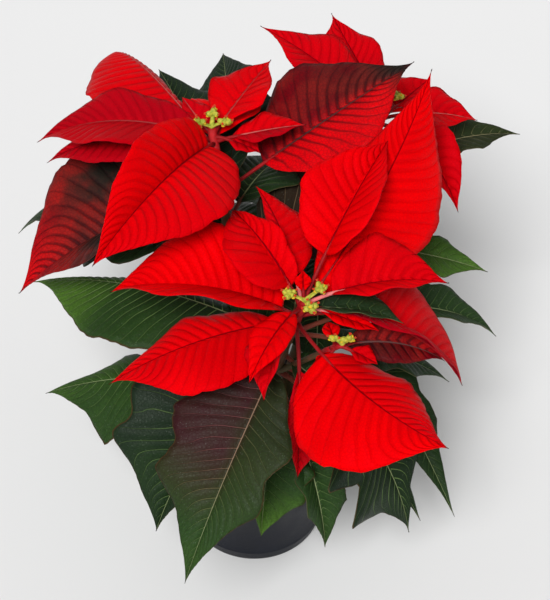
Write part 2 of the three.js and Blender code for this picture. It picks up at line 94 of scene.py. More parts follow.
def new_lamp(name, kind, place, power):
    lamp = bpy.data.objects.new(name, bpy.data.lights.new(name, kind))
    lamp.data.energy = power
    lamp.location = place
    lamp.rotation_euler = (CAMERA_TARGET - lamp.location).to_track_quat("-Z", "Y").to_euler()
    scene.collection.objects.link(lamp)
    return lamp


new_lamp("sun", "SUN", CAMERA_TARGET + SUN_FROM, SUN_STRENGTH).data.angle = SUN_ANGLE
new_lamp("rim", "AREA", RIM_PLACE, RIM_POWER).data.size = RIM_SIZE
scene.view_settings.view_transform = "Standard"
scene.world = bpy.data.worlds.new("studio")
scene.world.use_nodes = True
background = scene.world.node_tree.nodes["Background"]
background.inputs["Color"].default_value = (1, 1, 1, 1)
background.inputs["Strength"].default_value = WORLD_STRENGTH
print("a sun", round(math.degrees(SUN_ANGLE)), "degrees wide, a rim lamp and a pale world")

# %% [markdown]
# ## Writing materials in code
# A material is a tree of nodes. A few small helpers keep the trees readable: one adds a node, one
# either links a socket or sets it, and the others make the sums, steps and blends that come up all
# the time. Written out node by node, the same trees would be several times as long.

# %% Node helpers
def new_node(tree, kind, **settings):
    node = tree.nodes.new(kind)
    for name, value in settings.items():
        setattr(node, name, value)
    return node


def feed(tree, socket, value):
    """Links the value in if it is a socket, and sets it if it is a number or a colour."""
    if isinstance(value, bpy.types.NodeSocket):
        tree.links.new(value, socket)
    else:
        socket.default_value = value


def calc(tree, operation, *values):
    node = new_node(tree, "ShaderNodeMath", operation=operation)
    for socket, value in zip(node.inputs, values):
        feed(tree, socket, value)
    return node.outputs[0]


def rise(tree, value, start, end):
    """Goes smoothly from 0 at start to 1 at end, and end may be the lower of the two."""
    node = new_node(tree, "ShaderNodeMapRange", interpolation_type="SMOOTHSTEP")
    feed(tree, node.inputs["Value"], value)
    feed(tree, node.inputs["From Min"], start)
    feed(tree, node.inputs["From Max"], end)
    return node.outputs["Result"]


def blend(tree, share, first, second):
    node = new_node(tree, "ShaderNodeMix", data_type="RGBA")
    feed(tree, node.inputs[0], share)
    feed(tree, node.inputs[6], first)
    feed(tree, node.inputs[7], second)
    return node.outputs[2]


def attribute(tree, name):
    return new_node(tree, "ShaderNodeAttribute", attribute_name=name).outputs["Fac"]


def object_place(tree):
    return new_node(tree, "ShaderNodeTexCoord").outputs["Object"]


print("node helpers ready")

# %% Groups and materials
FLOAT = "NodeSocketFloat"


def new_group(name, inputs, outputs):
    tree = bpy.data.node_groups.new(name, "ShaderNodeTree")
    for title, value in inputs.items():
        tree.interface.new_socket(title, in_out="INPUT", socket_type=FLOAT).default_value = value
    for title in outputs:
        tree.interface.new_socket(title, in_out="OUTPUT", socket_type=FLOAT)
    return tree, tree.nodes.new("NodeGroupInput").outputs, tree.nodes.new("NodeGroupOutput").inputs


def use_group(tree, group, values):
    node = new_node(tree, "ShaderNodeGroup", node_tree=group)
    for title, value in values.items():
        feed(tree, node.inputs[title], value)
    return node.outputs


def new_material(name, **constants):
    """A material with one Principled shader, whose plain values are given by their socket names."""
    material = bpy.data.materials.new(name)
    material.use_nodes = True
    shader = material.node_tree.nodes["Principled BSDF"]
    for title, value in constants.items():
        shader.inputs[title.replace("_", " ")].default_value = value
    return material, material.node_tree, shader


def dress(tree, shader, skin, relief, depth):
    """Gives the shader the colour of its skin, and the bumps of a relief of this depth in metres."""
    node = new_node(tree, "ShaderNodeBump")
    node.inputs["Distance"].default_value = depth
    feed(tree, node.inputs["Height"], relief)
    tree.links.new(node.outputs["Normal"], shader.inputs["Normal"])
    feed(tree, shader.inputs["Base Color"], skin)


def colour(red, green, blue):
    return (red, green, blue, 1)


def palette(**colours):
    return {name: colour(*values) for name, values in colours.items()}


print("group and material helpers ready")

# %% [markdown]
# ## Veins
# Every blade has a midrib, side veins that leave it in pairs, and a fine net between those. The mesh
# will carry what the pattern needs as attributes: "rung" counts the side veins along the blade,
# "pitch" is the room between two of them, and "reach" is the distance to the midrib. A texture laid
# flat over the plant would cut across the veins, while attributes follow each blade wherever it turns.
# The pattern is a node group, because bracts, green leaves and turning leaves all use it.

# %% Side veins
VEIN_TAPER = 1.25  # a side vein starts this many times its width and thins to the edge

veins, given, result = new_group(
    "blade_veins",
    {"Midrib width": 0.0011, "Vein width": 0.0006, "Net scale": 420, "Softness": 0.75, "Fading": 0.7},
    ["Midrib", "Side veins", "Net", "Height"],
)
rung_share = calc(veins, "FRACT", attribute(veins, "rung"))
to_vein = calc(veins, "MINIMUM", rung_share, calc(veins, "SUBTRACT", 1, rung_share))
vein_distance = calc(veins, "MULTIPLY", to_vein, attribute(veins, "pitch"))
across = calc(veins, "ABSOLUTE", attribute(veins, "across"))
vein_width = calc(veins, "MULTIPLY", given["Vein width"], calc(veins, "SUBTRACT", VEIN_TAPER, across))
soft_end = calc(veins, "MULTIPLY", vein_width, calc(veins, "SUBTRACT", 1, given["Softness"]))
fading = calc(veins, "SUBTRACT", 1, calc(veins, "MULTIPLY", across, given["Fading"]))
side = calc(veins, "MULTIPLY", rise(veins, vein_distance, vein_width, soft_end), fading)
feed(veins, result["Side veins"], side)
print("side veins start at", VEIN_TAPER, "times their width")

# %% Midrib and net
RIB_TAPER = 1.15  # the midrib also thins, from the stalk to the tip
RIB_CORE = 0.4  # the share of the midrib that has its full colour
NET_LINE = (0.14, 0.02)  # where in a cell the colour of the net starts, and where it is full
NET_DEPTH = 0.12  # depth of the net, against that of the veins

rib_width = calc(veins, "MULTIPLY", given["Midrib width"],
                 calc(veins, "SUBTRACT", RIB_TAPER, attribute(veins, "along")))
rib_core = calc(veins, "MULTIPLY", rib_width, RIB_CORE)
midrib_mask = rise(veins, attribute(veins, "reach"), rib_width, rib_core)
cells = new_node(veins, "ShaderNodeTexVoronoi", feature="DISTANCE_TO_EDGE")
feed(veins, cells.inputs["Vector"], object_place(veins))
feed(veins, cells.inputs["Scale"], given["Net scale"])
net = rise(veins, cells.outputs["Distance"], *NET_LINE)
feed(veins, result["Midrib"], midrib_mask)
feed(veins, result["Net"], net)
groove = calc(veins, "MAXIMUM", side, midrib_mask)
groove = calc(veins, "ADD", calc(veins, "MULTIPLY", net, NET_DEPTH), groove)
feed(veins, result["Height"], calc(veins, "SUBTRACT", 1, groove))
print("vein group with outputs", [socket.name for socket in result if socket.name])

# %% [markdown]
# ## Patches and grain
# No leaf is one colour. A slow noise gives clouds of lighter and darker tissue, and a quick one the
# grain of the skin. A few Voronoi cells, chosen by their colour, carry a pale speck: dust on the pot,
# and a painted glint on the leaves. The same group is used for leaves, stems, pot and soil, each at
# its own scale.

# %% Patch group
# Each noise has an output, the input that scales it, and the two values between which it rises.
CLOUDS = (("Patches", "Patch scale", 0.35, 0.65), ("Grain", "Grain scale", 0.3, 0.7))
CLOUD_DETAIL = 3
SPECK_CHOICE = (0.68, 0.74)  # only cells whose colour is above this carry a speck
SPECK_EDGE = (0.3, 0.1)  # from its rim to its middle, as a distance in the cell

patches, given, result = new_group(
    "patches_and_grain", {"Patch scale": 30, "Grain scale": 900, "Speck scale": 750},
    ["Patches", "Grain", "Specks"],
)
for title, scale, start, end in CLOUDS:
    cloud = new_node(patches, "ShaderNodeTexNoise")
    cloud.inputs["Detail"].default_value = CLOUD_DETAIL
    feed(patches, cloud.inputs["Vector"], object_place(patches))
    feed(patches, cloud.inputs["Scale"], given[scale])
    feed(patches, result[title], rise(patches, cloud.outputs["Fac"], start, end))
cells = new_node(patches, "ShaderNodeTexVoronoi")
feed(patches, cells.inputs["Vector"], object_place(patches))
feed(patches, cells.inputs["Scale"], given["Speck scale"])
chosen = rise(patches, cells.outputs["Color"], *SPECK_CHOICE)
speck = rise(patches, cells.outputs["Distance"], *SPECK_EDGE)
feed(patches, result["Specks"], calc(patches, "MULTIPLY", chosen, speck))
print("patch group ready")

# %% [markdown]
# ## How a blade finish is built
# All blades share a recipe: a skin colour, then layers over it for patches, net, veins, midrib, lower
# face and a brown drip tip. Each leaf could have a painted image, but layers that read the masks of
# the two groups and the attributes of the blade fit all of them, from any distance. "tone" goes from
# dark to light, or from maroon to green on a turning leaf, "blush" goes towards red, "rib" goes from
# a dark to a pale midrib, and "under" marks the lower face.

# %% Layers of a finish
UNDER_SHARE = 0.85  # how far the colour of the lower face covers the skin
DRIP_TIP = (0.965, 0.995)  # where the brown tip starts, and where it is full


def blade_masks(tree, midrib_width, vein_width, softness, patch_scale=26):
    pattern = use_group(
        tree, veins, {"Midrib width": midrib_width, "Vein width": vein_width, "Softness": softness})
    cloud = use_group(tree, patches, {"Patch scale": patch_scale})
    return pattern, cloud


def weighted(tree, mask, weight):
    return calc(tree, "MULTIPLY", mask, weight)


def layer(tree, skin, mask, weight, paint):
    """Lays a colour over the skin, as strongly as the mask times its weight says."""
    return blend(tree, weighted(tree, mask, weight), skin, paint)


def finish_blade(tree, skin, under, tip):
    """Adds what all blades have: another colour below, and a brown drip tip."""
    faced = layer(tree, skin, attribute(tree, "under"), UNDER_SHARE, under)
    return blend(tree, rise(tree, attribute(tree, "along"), *DRIP_TIP), faced, tip)


def paint_midrib(tree, skin, mask, dark, pale):
    """The attribute "rib" says how much of the midrib is pale. The rest of it is dark."""
    rib = attribute(tree, "rib")
    skin = layer(tree, skin, mask, calc(tree, "SUBTRACT", 1, rib), dark)
    return layer(tree, skin, mask, rib, pale)


print("a finish is a skin with layers over it")

# %% [markdown]
# ## Bract finish
# Bracts are a saturated red with darker veins and a velvety, barely glossy skin. A sheen could give
# the velvet, but it adds pale light over the red, so the gloss is kept low and tinted red instead.

# %% Bract finish
BRACT = palette(
    light=(0.86, 0, 0.001), deep=(0.48, 0, 0.002), vein=(0.26, 0, 0.002), rib=(0.8, 0.22, 0.2),
    shade=(0.14, 0.002, 0.01), under=(0.36, 0.001, 0.012), tip=(0.045, 0.012, 0.006),
)

bract_red, tree, shader = new_material(
    "bract_red", Roughness=0.5, Specular_IOR_Level=0.1, Specular_Tint=colour(1, 0.06, 0.12),
)
pattern, cloud = blade_masks(tree, midrib_width=0.0008, vein_width=0.0022, softness=1.2)
skin = layer(tree, BRACT["light"], cloud["Patches"], 0.3, BRACT["deep"])
skin = layer(tree, skin, cloud["Grain"], 0.2, BRACT["deep"])
skin = layer(tree, skin, pattern["Net"], 0.1, BRACT["vein"])
skin = layer(tree, skin, pattern["Side veins"], 0.22, BRACT["vein"])
skin = paint_midrib(tree, skin, pattern["Midrib"], BRACT["vein"], BRACT["rib"])
skin = blend(tree, attribute(tree, "blush"), skin, BRACT["shade"])
skin = finish_blade(tree, skin, BRACT["under"], BRACT["tip"])
dress(tree, shader, skin, pattern["Height"], depth=0.0009)
print("finish", bract_red.name)

# %% [markdown]
# ## Green leaf finish
# The leaves are dark and waxy, with pale veins, a thin reddish margin and a paler underside. Light and
# dark leaves could have materials of their own, but one finish that reads the tone, blush and rib of
# each blade gives a near black leaf, a lime one and a purplish one from the same nodes.

# %% Green leaf finish
GREEN = palette(
    dark=(0.01, 0.022, 0.01), mid=(0.024, 0.06, 0.012), lime=(0.09, 0.205, 0.02),
    deep=(0.003, 0.007, 0.004), vein=(0.16, 0.26, 0.08), rib=(0.3, 0.36, 0.17),
    blush=(0.034, 0.005, 0.008), pink=(0.3, 0.1, 0.1), margin=(0.06, 0.03, 0.01),
    under=(0.1, 0.17, 0.075), tip=(0.02, 0.014, 0.008), speck=(0.42, 0.48, 0.4),
)
LEAF_MARGIN = (0.975, 0.995)  # where the reddish margin starts, and where it is full

leaf_green, tree, shader = new_material("leaf_green", Specular_IOR_Level=0.12)
pattern, cloud = blade_masks(tree, midrib_width=0.0007, vein_width=0.00055, softness=0.7)
tone = calc(tree, "ADD", attribute(tree, "tone"), weighted(tree, cloud["Patches"], 0.12))
skin = blend(tree, rise(tree, tone, 0.0, 0.5), GREEN["dark"], GREEN["mid"])
skin = blend(tree, rise(tree, tone, 0.5, 1.0), skin, GREEN["lime"])
skin = layer(tree, skin, cloud["Grain"], 0.35, GREEN["deep"])
skin = layer(tree, skin, pattern["Net"], 0.15, GREEN["deep"])
blush, rib = attribute(tree, "blush"), attribute(tree, "rib")
uneven = calc(tree, "ADD", 0.75, weighted(tree, cloud["Patches"], 0.25))
skin = layer(tree, skin, blush, uneven, GREEN["blush"])
skin = layer(tree, skin, pattern["Side veins"], rib, blend(tree, blush, GREEN["vein"], GREEN["pink"]))
margin = rise(tree, calc(tree, "ABSOLUTE", attribute(tree, "across")), *LEAF_MARGIN)
skin = blend(tree, margin, skin, GREEN["margin"])
pale_rib = rise(tree, rib, 0.0, 0.5)
skin = layer(tree, skin, pattern["Midrib"], pale_rib, blend(tree, blush, GREEN["rib"], GREEN["pink"]))
# painted glints: pale specks that stand in for glossy highlights on the waxy skin
skin = layer(tree, skin, cloud["Specks"], 0.14, GREEN["speck"])
skin = finish_blade(tree, skin, GREEN["under"], GREEN["tip"])
feed(tree, shader.inputs["Roughness"], calc(tree, "ADD", 0.46, weighted(tree, cloud["Grain"], 0.12)))
dress(tree, shader, skin, pattern["Height"], depth=0.0007)
print("finish", leaf_green.name)

# %% [markdown]
# ## Turning leaf finish
# A leaf close to a bloom turns from green to red. It is maroon on the way, and darkest along its
# veins. The green finish could be blended with the red one, but that gives a flat brown, so this one
# starts from maroon and lets green and red parts break through.

# %% Turning leaf finish
TURNING = palette(
    maroon=(0.15, 0.001, 0.005), green=(0.014, 0.016, 0.012), red=(0.72, 0.001, 0.004),
    vein=(0.012, 0.004, 0.006), rib=(0.45, 0.22, 0.2), under=(0.2, 0.045, 0.05),
    tip=(0.02, 0.008, 0.006),
)

turning_leaf, tree, shader = new_material(
    "turning_leaf", Roughness=0.45, Specular_IOR_Level=0.08, Specular_Tint=colour(1, 0.4, 0.4),
)
pattern, cloud = blade_masks(tree, midrib_width=0.001, vein_width=0.0017, softness=0.9, patch_scale=45)
greenness = calc(tree, "ADD", attribute(tree, "tone"), weighted(tree, cloud["Patches"], 0.5))
skin = layer(tree, TURNING["maroon"], cloud["Grain"], 0.3, TURNING["vein"])
skin = blend(tree, rise(tree, greenness, 0.1, 1.0), skin, TURNING["green"])
flush = calc(tree, "ADD", attribute(tree, "blush"), weighted(tree, cloud["Patches"], 0.2))
flush = calc(tree, "SUBTRACT", flush, weighted(tree, attribute(tree, "tone"), 0.35))
skin = blend(tree, rise(tree, flush, 0.1, 1.0), skin, TURNING["red"])
skin = layer(tree, skin, pattern["Net"], 0.3, TURNING["vein"])
skin = layer(tree, skin, pattern["Side veins"], 0.75, TURNING["vein"])
skin = paint_midrib(tree, skin, pattern["Midrib"], TURNING["vein"], TURNING["rib"])
skin = finish_blade(tree, skin, TURNING["under"], TURNING["tip"])
dress(tree, shader, skin, pattern["Height"], depth=0.0006)
print("finish", turning_leaf.name)

# %% [markdown]
# ## Stalk and stem finishes
# Stalks and stems change colour from one end to the other, and are mottled by the same patches as the
# leaves. The height above the floor could drive the change, but stalks lean every way, so the finish
# reads the attribute "along", which is 0 at the foot and 1 at the far end of each tube.

# %% Stalk and stem finishes
def stalk_finish(name, foot, end, patch, roughness):
    material, tree, shader = new_material(name, Roughness=roughness, Specular_IOR_Level=0.2)
    cloud = use_group(tree, patches, {"Patch scale": 130, "Grain scale": 1400})
    skin = blend(tree, attribute(tree, "along"), colour(*foot), colour(*end))
    skin = layer(tree, skin, cloud["Patches"], 0.6, colour(*patch))
    dress(tree, shader, skin, cloud["Grain"], depth=0.0002)
    return material


# Each has a colour at its foot, at its far end and in its patches, and a roughness.
bract_stalk = stalk_finish(
    "bract_stalk", (0.3, 0.004, 0.006), (0.55, 0.01, 0.014), (0.2, 0.002, 0.005), 0.4)
pale_stalk = stalk_finish("pale_stalk", (0.8, 0.16, 0.16), (0.85, 0.42, 0.36), (0.8, 0.2, 0.2), 0.4)
leaf_stalk = stalk_finish(
    "leaf_stalk", (0.2, 0.022, 0.018), (0.24, 0.2, 0.06), (0.12, 0.035, 0.015), 0.42)
stem_bark = stalk_finish(
    "stem_bark", (0.1, 0.075, 0.035), (0.16, 0.045, 0.022), (0.045, 0.06, 0.022), 0.6)
print("stalk and stem finishes ready")

# %% [markdown]
# ## Cyathium finish
# A cyathium has a yellow-green cup, a deep yellow gland and orange-red stamens. They could be three
# materials on three meshes. Here one finish reads the attribute "ripe", which is lowest on the cup
# and highest on the stamens, and colours them all in one mesh.

# %% Cyathium finish
GLAND_RIPE, STAMEN_RIPE = 0.55, 1  # the attribute "ripe" of these two parts, while a cup has 0
CYATHIUM = palette(
    green=(0.34, 0.42, 0.03), yellow=(0.8, 0.72, 0.08), gland=(0.9, 0.62, 0.02),
    stamen=(0.8, 0.06, 0.012),
)

cyathium_finish, tree, shader = new_material("cyathium", Roughness=0.38, Specular_IOR_Level=0.5)
cloud = use_group(tree, patches, {"Patch scale": 420, "Grain scale": 2600})
ripe = attribute(tree, "ripe")
skin = layer(tree, CYATHIUM["green"], cloud["Patches"], 0.7, CYATHIUM["yellow"])
skin = blend(tree, rise(tree, ripe, 0.1, 0.5), skin, CYATHIUM["gland"])
skin = blend(tree, rise(tree, ripe, 0.6, 1.0), skin, CYATHIUM["stamen"])
dress(tree, shader, skin, cloud["Grain"], depth=0.0002)
print("finish", cyathium_finish.name)

# %% [markdown]
# ## Pot, soil and floor finishes
# The pot is moulded plastic: charcoal with a fine satin grain, faint scuffs and some dust. The soil is
# rough and dark, with pale perlite in it, told apart by the attribute "perlite". The floor is paper.

# %% Pot, soil and floor finishes
pot_plastic, tree, shader = new_material("pot_plastic", Specular_IOR_Level=0.22)
cloud = use_group(tree, patches, {"Patch scale": 55, "Grain scale": 1500})
skin = layer(tree, colour(0.002, 0.003, 0.007), cloud["Grain"], 0.5, colour(0.006, 0.008, 0.016))
skin = layer(tree, skin, cloud["Patches"], 0.14, colour(0.036, 0.041, 0.056))
skin = layer(tree, skin, cloud["Specks"], 0.2, colour(0.20, 0.21, 0.24))
feed(tree, shader.inputs["Roughness"], calc(tree, "ADD", 0.4, weighted(tree, cloud["Patches"], 0.14)))
dress(tree, shader, skin, cloud["Grain"], depth=0.00012)

potting_soil, tree, shader = new_material("potting_soil", Specular_IOR_Level=0.15, Roughness=0.95)
cloud = use_group(tree, patches, {"Patch scale": 150, "Grain scale": 1100})
skin = blend(tree, cloud["Patches"], colour(0.018, 0.010, 0.006), colour(0.065, 0.036, 0.018))
skin = layer(tree, skin, cloud["Grain"], 0.5, colour(0.012, 0.007, 0.004))
skin = blend(tree, attribute(tree, "perlite"), skin, colour(0.62, 0.60, 0.55))
dress(tree, shader, skin, cloud["Grain"], depth=0.0008)

floor_paper, tree, shader = new_material("floor_paper", Roughness=0.9, Specular_IOR_Level=0.1)
cloud = use_group(tree, patches, {"Patch scale": 2, "Grain scale": 500})
skin = layer(tree, colour(0.79, 0.79, 0.79), cloud["Patches"], 0.5, colour(0.78, 0.78, 0.78))
feed(tree, shader.inputs["Base Color"], skin)
print("pot, soil and floor finishes ready")

# %% [markdown]
# ## From mesh to piece
# Each piece is one mesh object at the origin, with its place in its vertices. It rides on the one body
# of the frame and stands for the node that it replaces. Each leaf could be an object of its own, but
# the pieces are kept few, one for each finish of a stem or a bloom.

# %% Making pieces
def new_object(name, mesh, material):
    data = bpy.data.meshes.new(name)
    for face in mesh.faces:
        face.smooth = True
    mesh.to_mesh(data)
    mesh.free()
    data.materials.append(material)
    piece = bpy.data.objects.new(name, data)
    scene.collection.objects.link(piece)
    return piece


def new_piece(name, mesh, material, node):
    piece = new_object(name, mesh, material)
    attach(piece, "root")
    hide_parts(node)
    triangles = sum(len(polygon.vertices) - 2 for polygon in piece.data.polygons)
    print(f"{name}: {triangles} triangles, stands for {node}")
    return piece


print("ready to make pieces")

# %% [markdown]
# ## Floor
# The plant stands on pale paper. A backdrop that curves up behind it would get in the way of a look
# from the other side, so this is a flat grid, so large that it reaches to the horizon. It is the stage
# of the picture only, so it is an object but not a piece.

# %% The floor
FLOOR_SIZE = 40  # metres from the middle to each edge
FLOOR_CELLS = 8
FLOOR_DROP = 0.2 * MM

mesh = bmesh.new()
bmesh.ops.create_grid(mesh, x_segments=FLOOR_CELLS, y_segments=FLOOR_CELLS, size=FLOOR_SIZE)
bmesh.ops.translate(mesh, vec=(0, 0, -FLOOR_DROP), verts=mesh.verts)
floor = new_object("floor", mesh, floor_paper)
print("floor", 2 * FLOOR_SIZE, "m wide")

# %% [markdown]
# ## Stems
# Four stems carry everything: three stand in the soil, and a side shoot leaves the front one. A stem
# is a tube along a curve. It could be a Blender curve with a bevel, but a tube of our own can also
# swell at each joint where a leaf was, carry the attribute that its finish reads, and be cut at the
# height where green stem turns into red bract hub. The tube starts as a cone of the operator, whose
# long edges are cut into rings, and each vertex is then moved onto the curve.

# %% Stem curves
GAP = 0.3  # clearance between stretches of stem that differ in colour
HOLE_BOTTOM = 36  # the stems stand this high above the floor, deep in the soil
STEMS = {
    "front": SimpleNamespace(foot=(8, -14, 96), top=(34, -38, 256), lean=1.6, radius=(4.6, 2.7)),
    "left": SimpleNamespace(foot=(-6, 12, 96), top=(-27, 83, 298), lean=2, radius=(4.6, 2.6)),
    "right": SimpleNamespace(foot=(20, 16, 96), top=(93, 137, 276), lean=1.3, radius=(4.6, 2.6)),
    "side": SimpleNamespace(foot=(19, -25, 178), top=(58, -49, 228), lean=1, radius=(2.8, 2.2)),
}


def lerp(start, end, share):
    return start + (end - start) * share


def stem_share(stem, height):
    return (height - stem.foot[2]) / (stem.top[2] - stem.foot[2])


def stem_point(stem, height):
    share = max(0, stem_share(stem, height)) ** stem.lean
    x, y = (lerp(stem.foot[axis], stem.top[axis], share) for axis in (0, 1))
    return Vector((x, y, height))


def stem_radius(stem, height):
    return lerp(*stem.radius, min(1, max(0, stem_share(stem, height))))


print("stems:", ", ".join(STEMS))

# %% A tube along a path
def join(mesh, part):
    """Adds a finished part to the mesh of its piece."""
    data = bpy.data.meshes.new("part")
    part.to_mesh(data)
    part.free()
    mesh.from_mesh(data)
    bpy.data.meshes.remove(data)


def grow_tube(mesh, path, radius, sides, rings):
    """path(share) gives the centre and two directions across, and radius(share, angle) the radius."""
    tube = bmesh.new()
    along_layer = tube.verts.layers.float.new("along")
    bmesh.ops.create_cone(tube, cap_ends=True, segments=sides, radius1=1, radius2=1, depth=1)
    long_edges = [edge for edge in tube.edges if abs(edge.verts[0].co.z - edge.verts[1].co.z) > 0.5]
    bmesh.ops.subdivide_edges(tube, edges=long_edges, cuts=rings - 1, use_grid_fill=True)
    for vert in tube.verts:
        share = vert.co.z + 0.5
        centre, left, up = path(share)
        size = radius(share, math.atan2(vert.co.y, vert.co.x))
        vert[along_layer] = share
        vert.co = (centre + (left * vert.co.x + up * vert.co.y) * size) * MM
    join(mesh, tube)


print("a tube is a cone, cut into rings and laid along a path")

# %% A stretch of stem
STEM_SIDES = 16
STEM_RING = 2  # millimetres between the rings of a stem
JOINT_SWELL = 0.55  # how far a stem swells where a leaf leaves it
JOINT_HEIGHT = 2.2
STEM_RIDGES = 5
STEM_RIDGE_DEPTH = 0.035  # as a share of the radius
STEM_RIDGE_TWIST = 30  # millimetres of height in which the ridges turn by one radian
X_AXIS = Vector((1, 0, 0))
Y_AXIS = Vector((0, 1, 0))
Z_AXIS = Vector((0, 0, 1))


def grow_stem(mesh, stem, start, end, joints):
    def path(share):
        return stem_point(stem, lerp(start, end, share)), X_AXIS, Y_AXIS

    def radius(share, angle):
        height = lerp(start, end, share)
        swell = sum(math.exp(-((height - joint) / JOINT_HEIGHT) ** 2) for joint in joints)
        ridges = STEM_RIDGE_DEPTH * math.cos(STEM_RIDGES * angle + height / STEM_RIDGE_TWIST)
        return stem_radius(stem, height) * (1 + ridges) + JOINT_SWELL * min(1, swell)

    rings = max(3, round((end - start) / STEM_RING))
    grow_tube(mesh, path, radius, STEM_SIDES, rings)


print("stem joints swell by", JOINT_SWELL, "mm")

# %% [markdown]
# ## What a blade is
# Each leaf or bract is given by one row of numbers: its outline, the height on its stem, its heading,
# how its slope goes from stem to tip, and the length of stalk, length and width of blade. Leaves
# could be modelled one by one, but rows keep the whole plant editable, and one function grows them
# all. Colours are part of the row too, because on a real plant they belong to the single leaf.

# %% Outlines and blade rows
# Where an outline is widest, how round it is at the stalk and how drawn out at the tip.
OVATE = SimpleNamespace(spread=0.8, base_round=0.75, tip_taper=1.7)
BROAD = SimpleNamespace(spread=0.78, base_round=0.6, tip_taper=1.45)
TAPERED = SimpleNamespace(spread=0.8, base_round=0.75, tip_taper=1.9)
SLIM = SimpleNamespace(spread=0.85, base_round=0.9, tip_taper=1.6)
LEAF = SimpleNamespace(spread=0.72, base_round=0.7, tip_taper=1.5)
PLAIN_BLADE = {
    "roll": 0, "skew": 0, "bend": 0, "lobe": 0, "fold": 12,  # the shape
    "tone": (0.2, 0.2),  # tone at the stalk and at the tip
    "blush": (0, 0),  # redness of the right half and of the left half
    "blush_end": (1.2, 1.4),  # where along the blade it starts to fade, and where it is gone
    "rib": 0,  # 0 for a dark midrib and 1 for a pale one
    "pale_stalk": False,
}


def blade(form, height, heading, rise, fall, stalk, length, width, **more):
    row = {"form": form, "height": height, "heading": heading, "rise": rise, "fall": fall,
           "stalk": stalk, "length": length, "width": width}
    return SimpleNamespace(**{**PLAIN_BLADE, **row, **more})


def leaf(*row, form=LEAF, **more):
    return blade(form, *row, **{"lobe": 0.3, "rib": 0.5, **more})


# %% Rows of the front stem
FRONT_BRACTS = [
    blade(SLIM, 254, 94, 20, 100, 8, 15, 11),
    blade(SLIM, 252, 346, -10, -15, 12, 40, 16, skew=-0.05, fold=10, pale_stalk=True),
    blade(OVATE, 251, 13, 25, -10, 20, 76, 52, roll=5, skew=0.25, bend=-16, fold=25, blush=(0.2, 0.2),
          pale_stalk=True),
    blade(OVATE, 249, 102, 40, 0, 21, 74, 28, roll=10, skew=-0.5, bend=16, fold=-5, blush=(0.15, 0.25),
          pale_stalk=True),
    blade(SLIM, 248, 241, 30, -40, 12, 62, 26),
    blade(BROAD, 247, 131, 55, -10, 16, 70, 46, skew=0.5, bend=-8, fold=25, blush=(0.15, 0.15)),
    blade(BROAD, 246, 55, 50, 15, 38, 89, 64, skew=0.1, bend=4, fold=35, blush=(0.08, 0.08)),
    blade(OVATE, 242, 245, 15, -55, 16, 53, 36, roll=30, skew=-0.15, bend=6, fold=30, blush=(0.3, 0.3)),
    blade(OVATE, 240, 39, 40, 25, 20, 166, 80, roll=25, skew=-0.3, bend=32, fold=-30),
    blade(OVATE, 239, 359, 15, -70, 20, 116, 60, roll=-10, skew=0.45, bend=-8, fold=15,
          blush=(0.6, 0.25)),
    blade(OVATE, 238, 176, 35, -30, 11, 119, 84, bend=-8, fold=35),
    blade(OVATE, 234, 278, -45, -80, 34, 79, 30, roll=-10, skew=0.3, bend=-16, fold=30,
          blush=(0.4, 0.4)),
    blade(OVATE, 233, 197, 10, -35, 13, 118, 68, skew=0.2, bend=-6, fold=-10, blush=(0.1, 0.1)),
    blade(BROAD, 233, 298, -5, 0, 32, 108, 94, roll=5, skew=-0.15, bend=28, fold=-25, blush=(0, 0.12)),
]
GREEN_BRACTS = [
    blade(OVATE, 247, 349, 20, -20, 10, 58, 28, roll=-5, skew=0.4, fold=15, tone=(0.1, 0.1), rib=0.25),
]
FRONT_LEAVES = [
    leaf(222, 84, 0, -20, 14, 92, 64),
    leaf(221, 152, -5, -35, 12, 70, 54, roll=10, skew=-0.15, fold=15),
    leaf(218, 15, -20, -50, 28, 115, 36, roll=5, skew=-0.1, bend=2, fold=5, tone=(0.15, 0.2)),
    leaf(216, 21, 15, -55, 44, 130, 36, roll=15, bend=-2, fold=30, tone=(0.15, 0.3)),
    leaf(216, 246, -15, -60, 28, 152, 80, roll=-5, skew=-0.15, bend=-12, fold=10, tone=(0.15, 0.55),
         blush=(1, 0.3), blush_end=(0.4, 0.75), rib=0.35),
    leaf(209, 151, 10, -30, 28, 181, 84, form=OVATE, roll=10, skew=0.3, bend=4, lobe=0, fold=-20,
         tone=(0, 1), rib=1),
    leaf(194, 337, -30, -35, 8, 48, 44),
    leaf(192, 212, -20, -60, 37, 113, 92, roll=-10, skew=-0.3, bend=20, lobe=0.25, fold=35,
         tone=(0.05, 0.1)),
    leaf(182, 342, -15, -75, 39, 121, 82, form=OVATE, roll=-10, skew=-0.5, bend=-36, lobe=0.6, fold=15,
         tone=(0.05, 0.1), rib=1),
    leaf(175, 337, -25, -65, 34, 123, 34, roll=5),
    leaf(168, 298, -25, -85, 39, 95, 40, skew=0.05, fold=35, tone=(0.3, 0.5)),
    leaf(166, 266, -25, -80, 36, 80, 48, roll=-15, skew=0.35, bend=-10, fold=30, tone=(0.2, 0.95),
         rib=0.3),
    leaf(157, 176, 10, -35, 36, 134, 80, roll=-5, skew=0.25, bend=-10, lobe=0.35, fold=-15,
         tone=(0.45, 0.6), rib=0.6),
]
print(len(FRONT_BRACTS), "bracts and", len(FRONT_LEAVES), "leaves on the front stem")

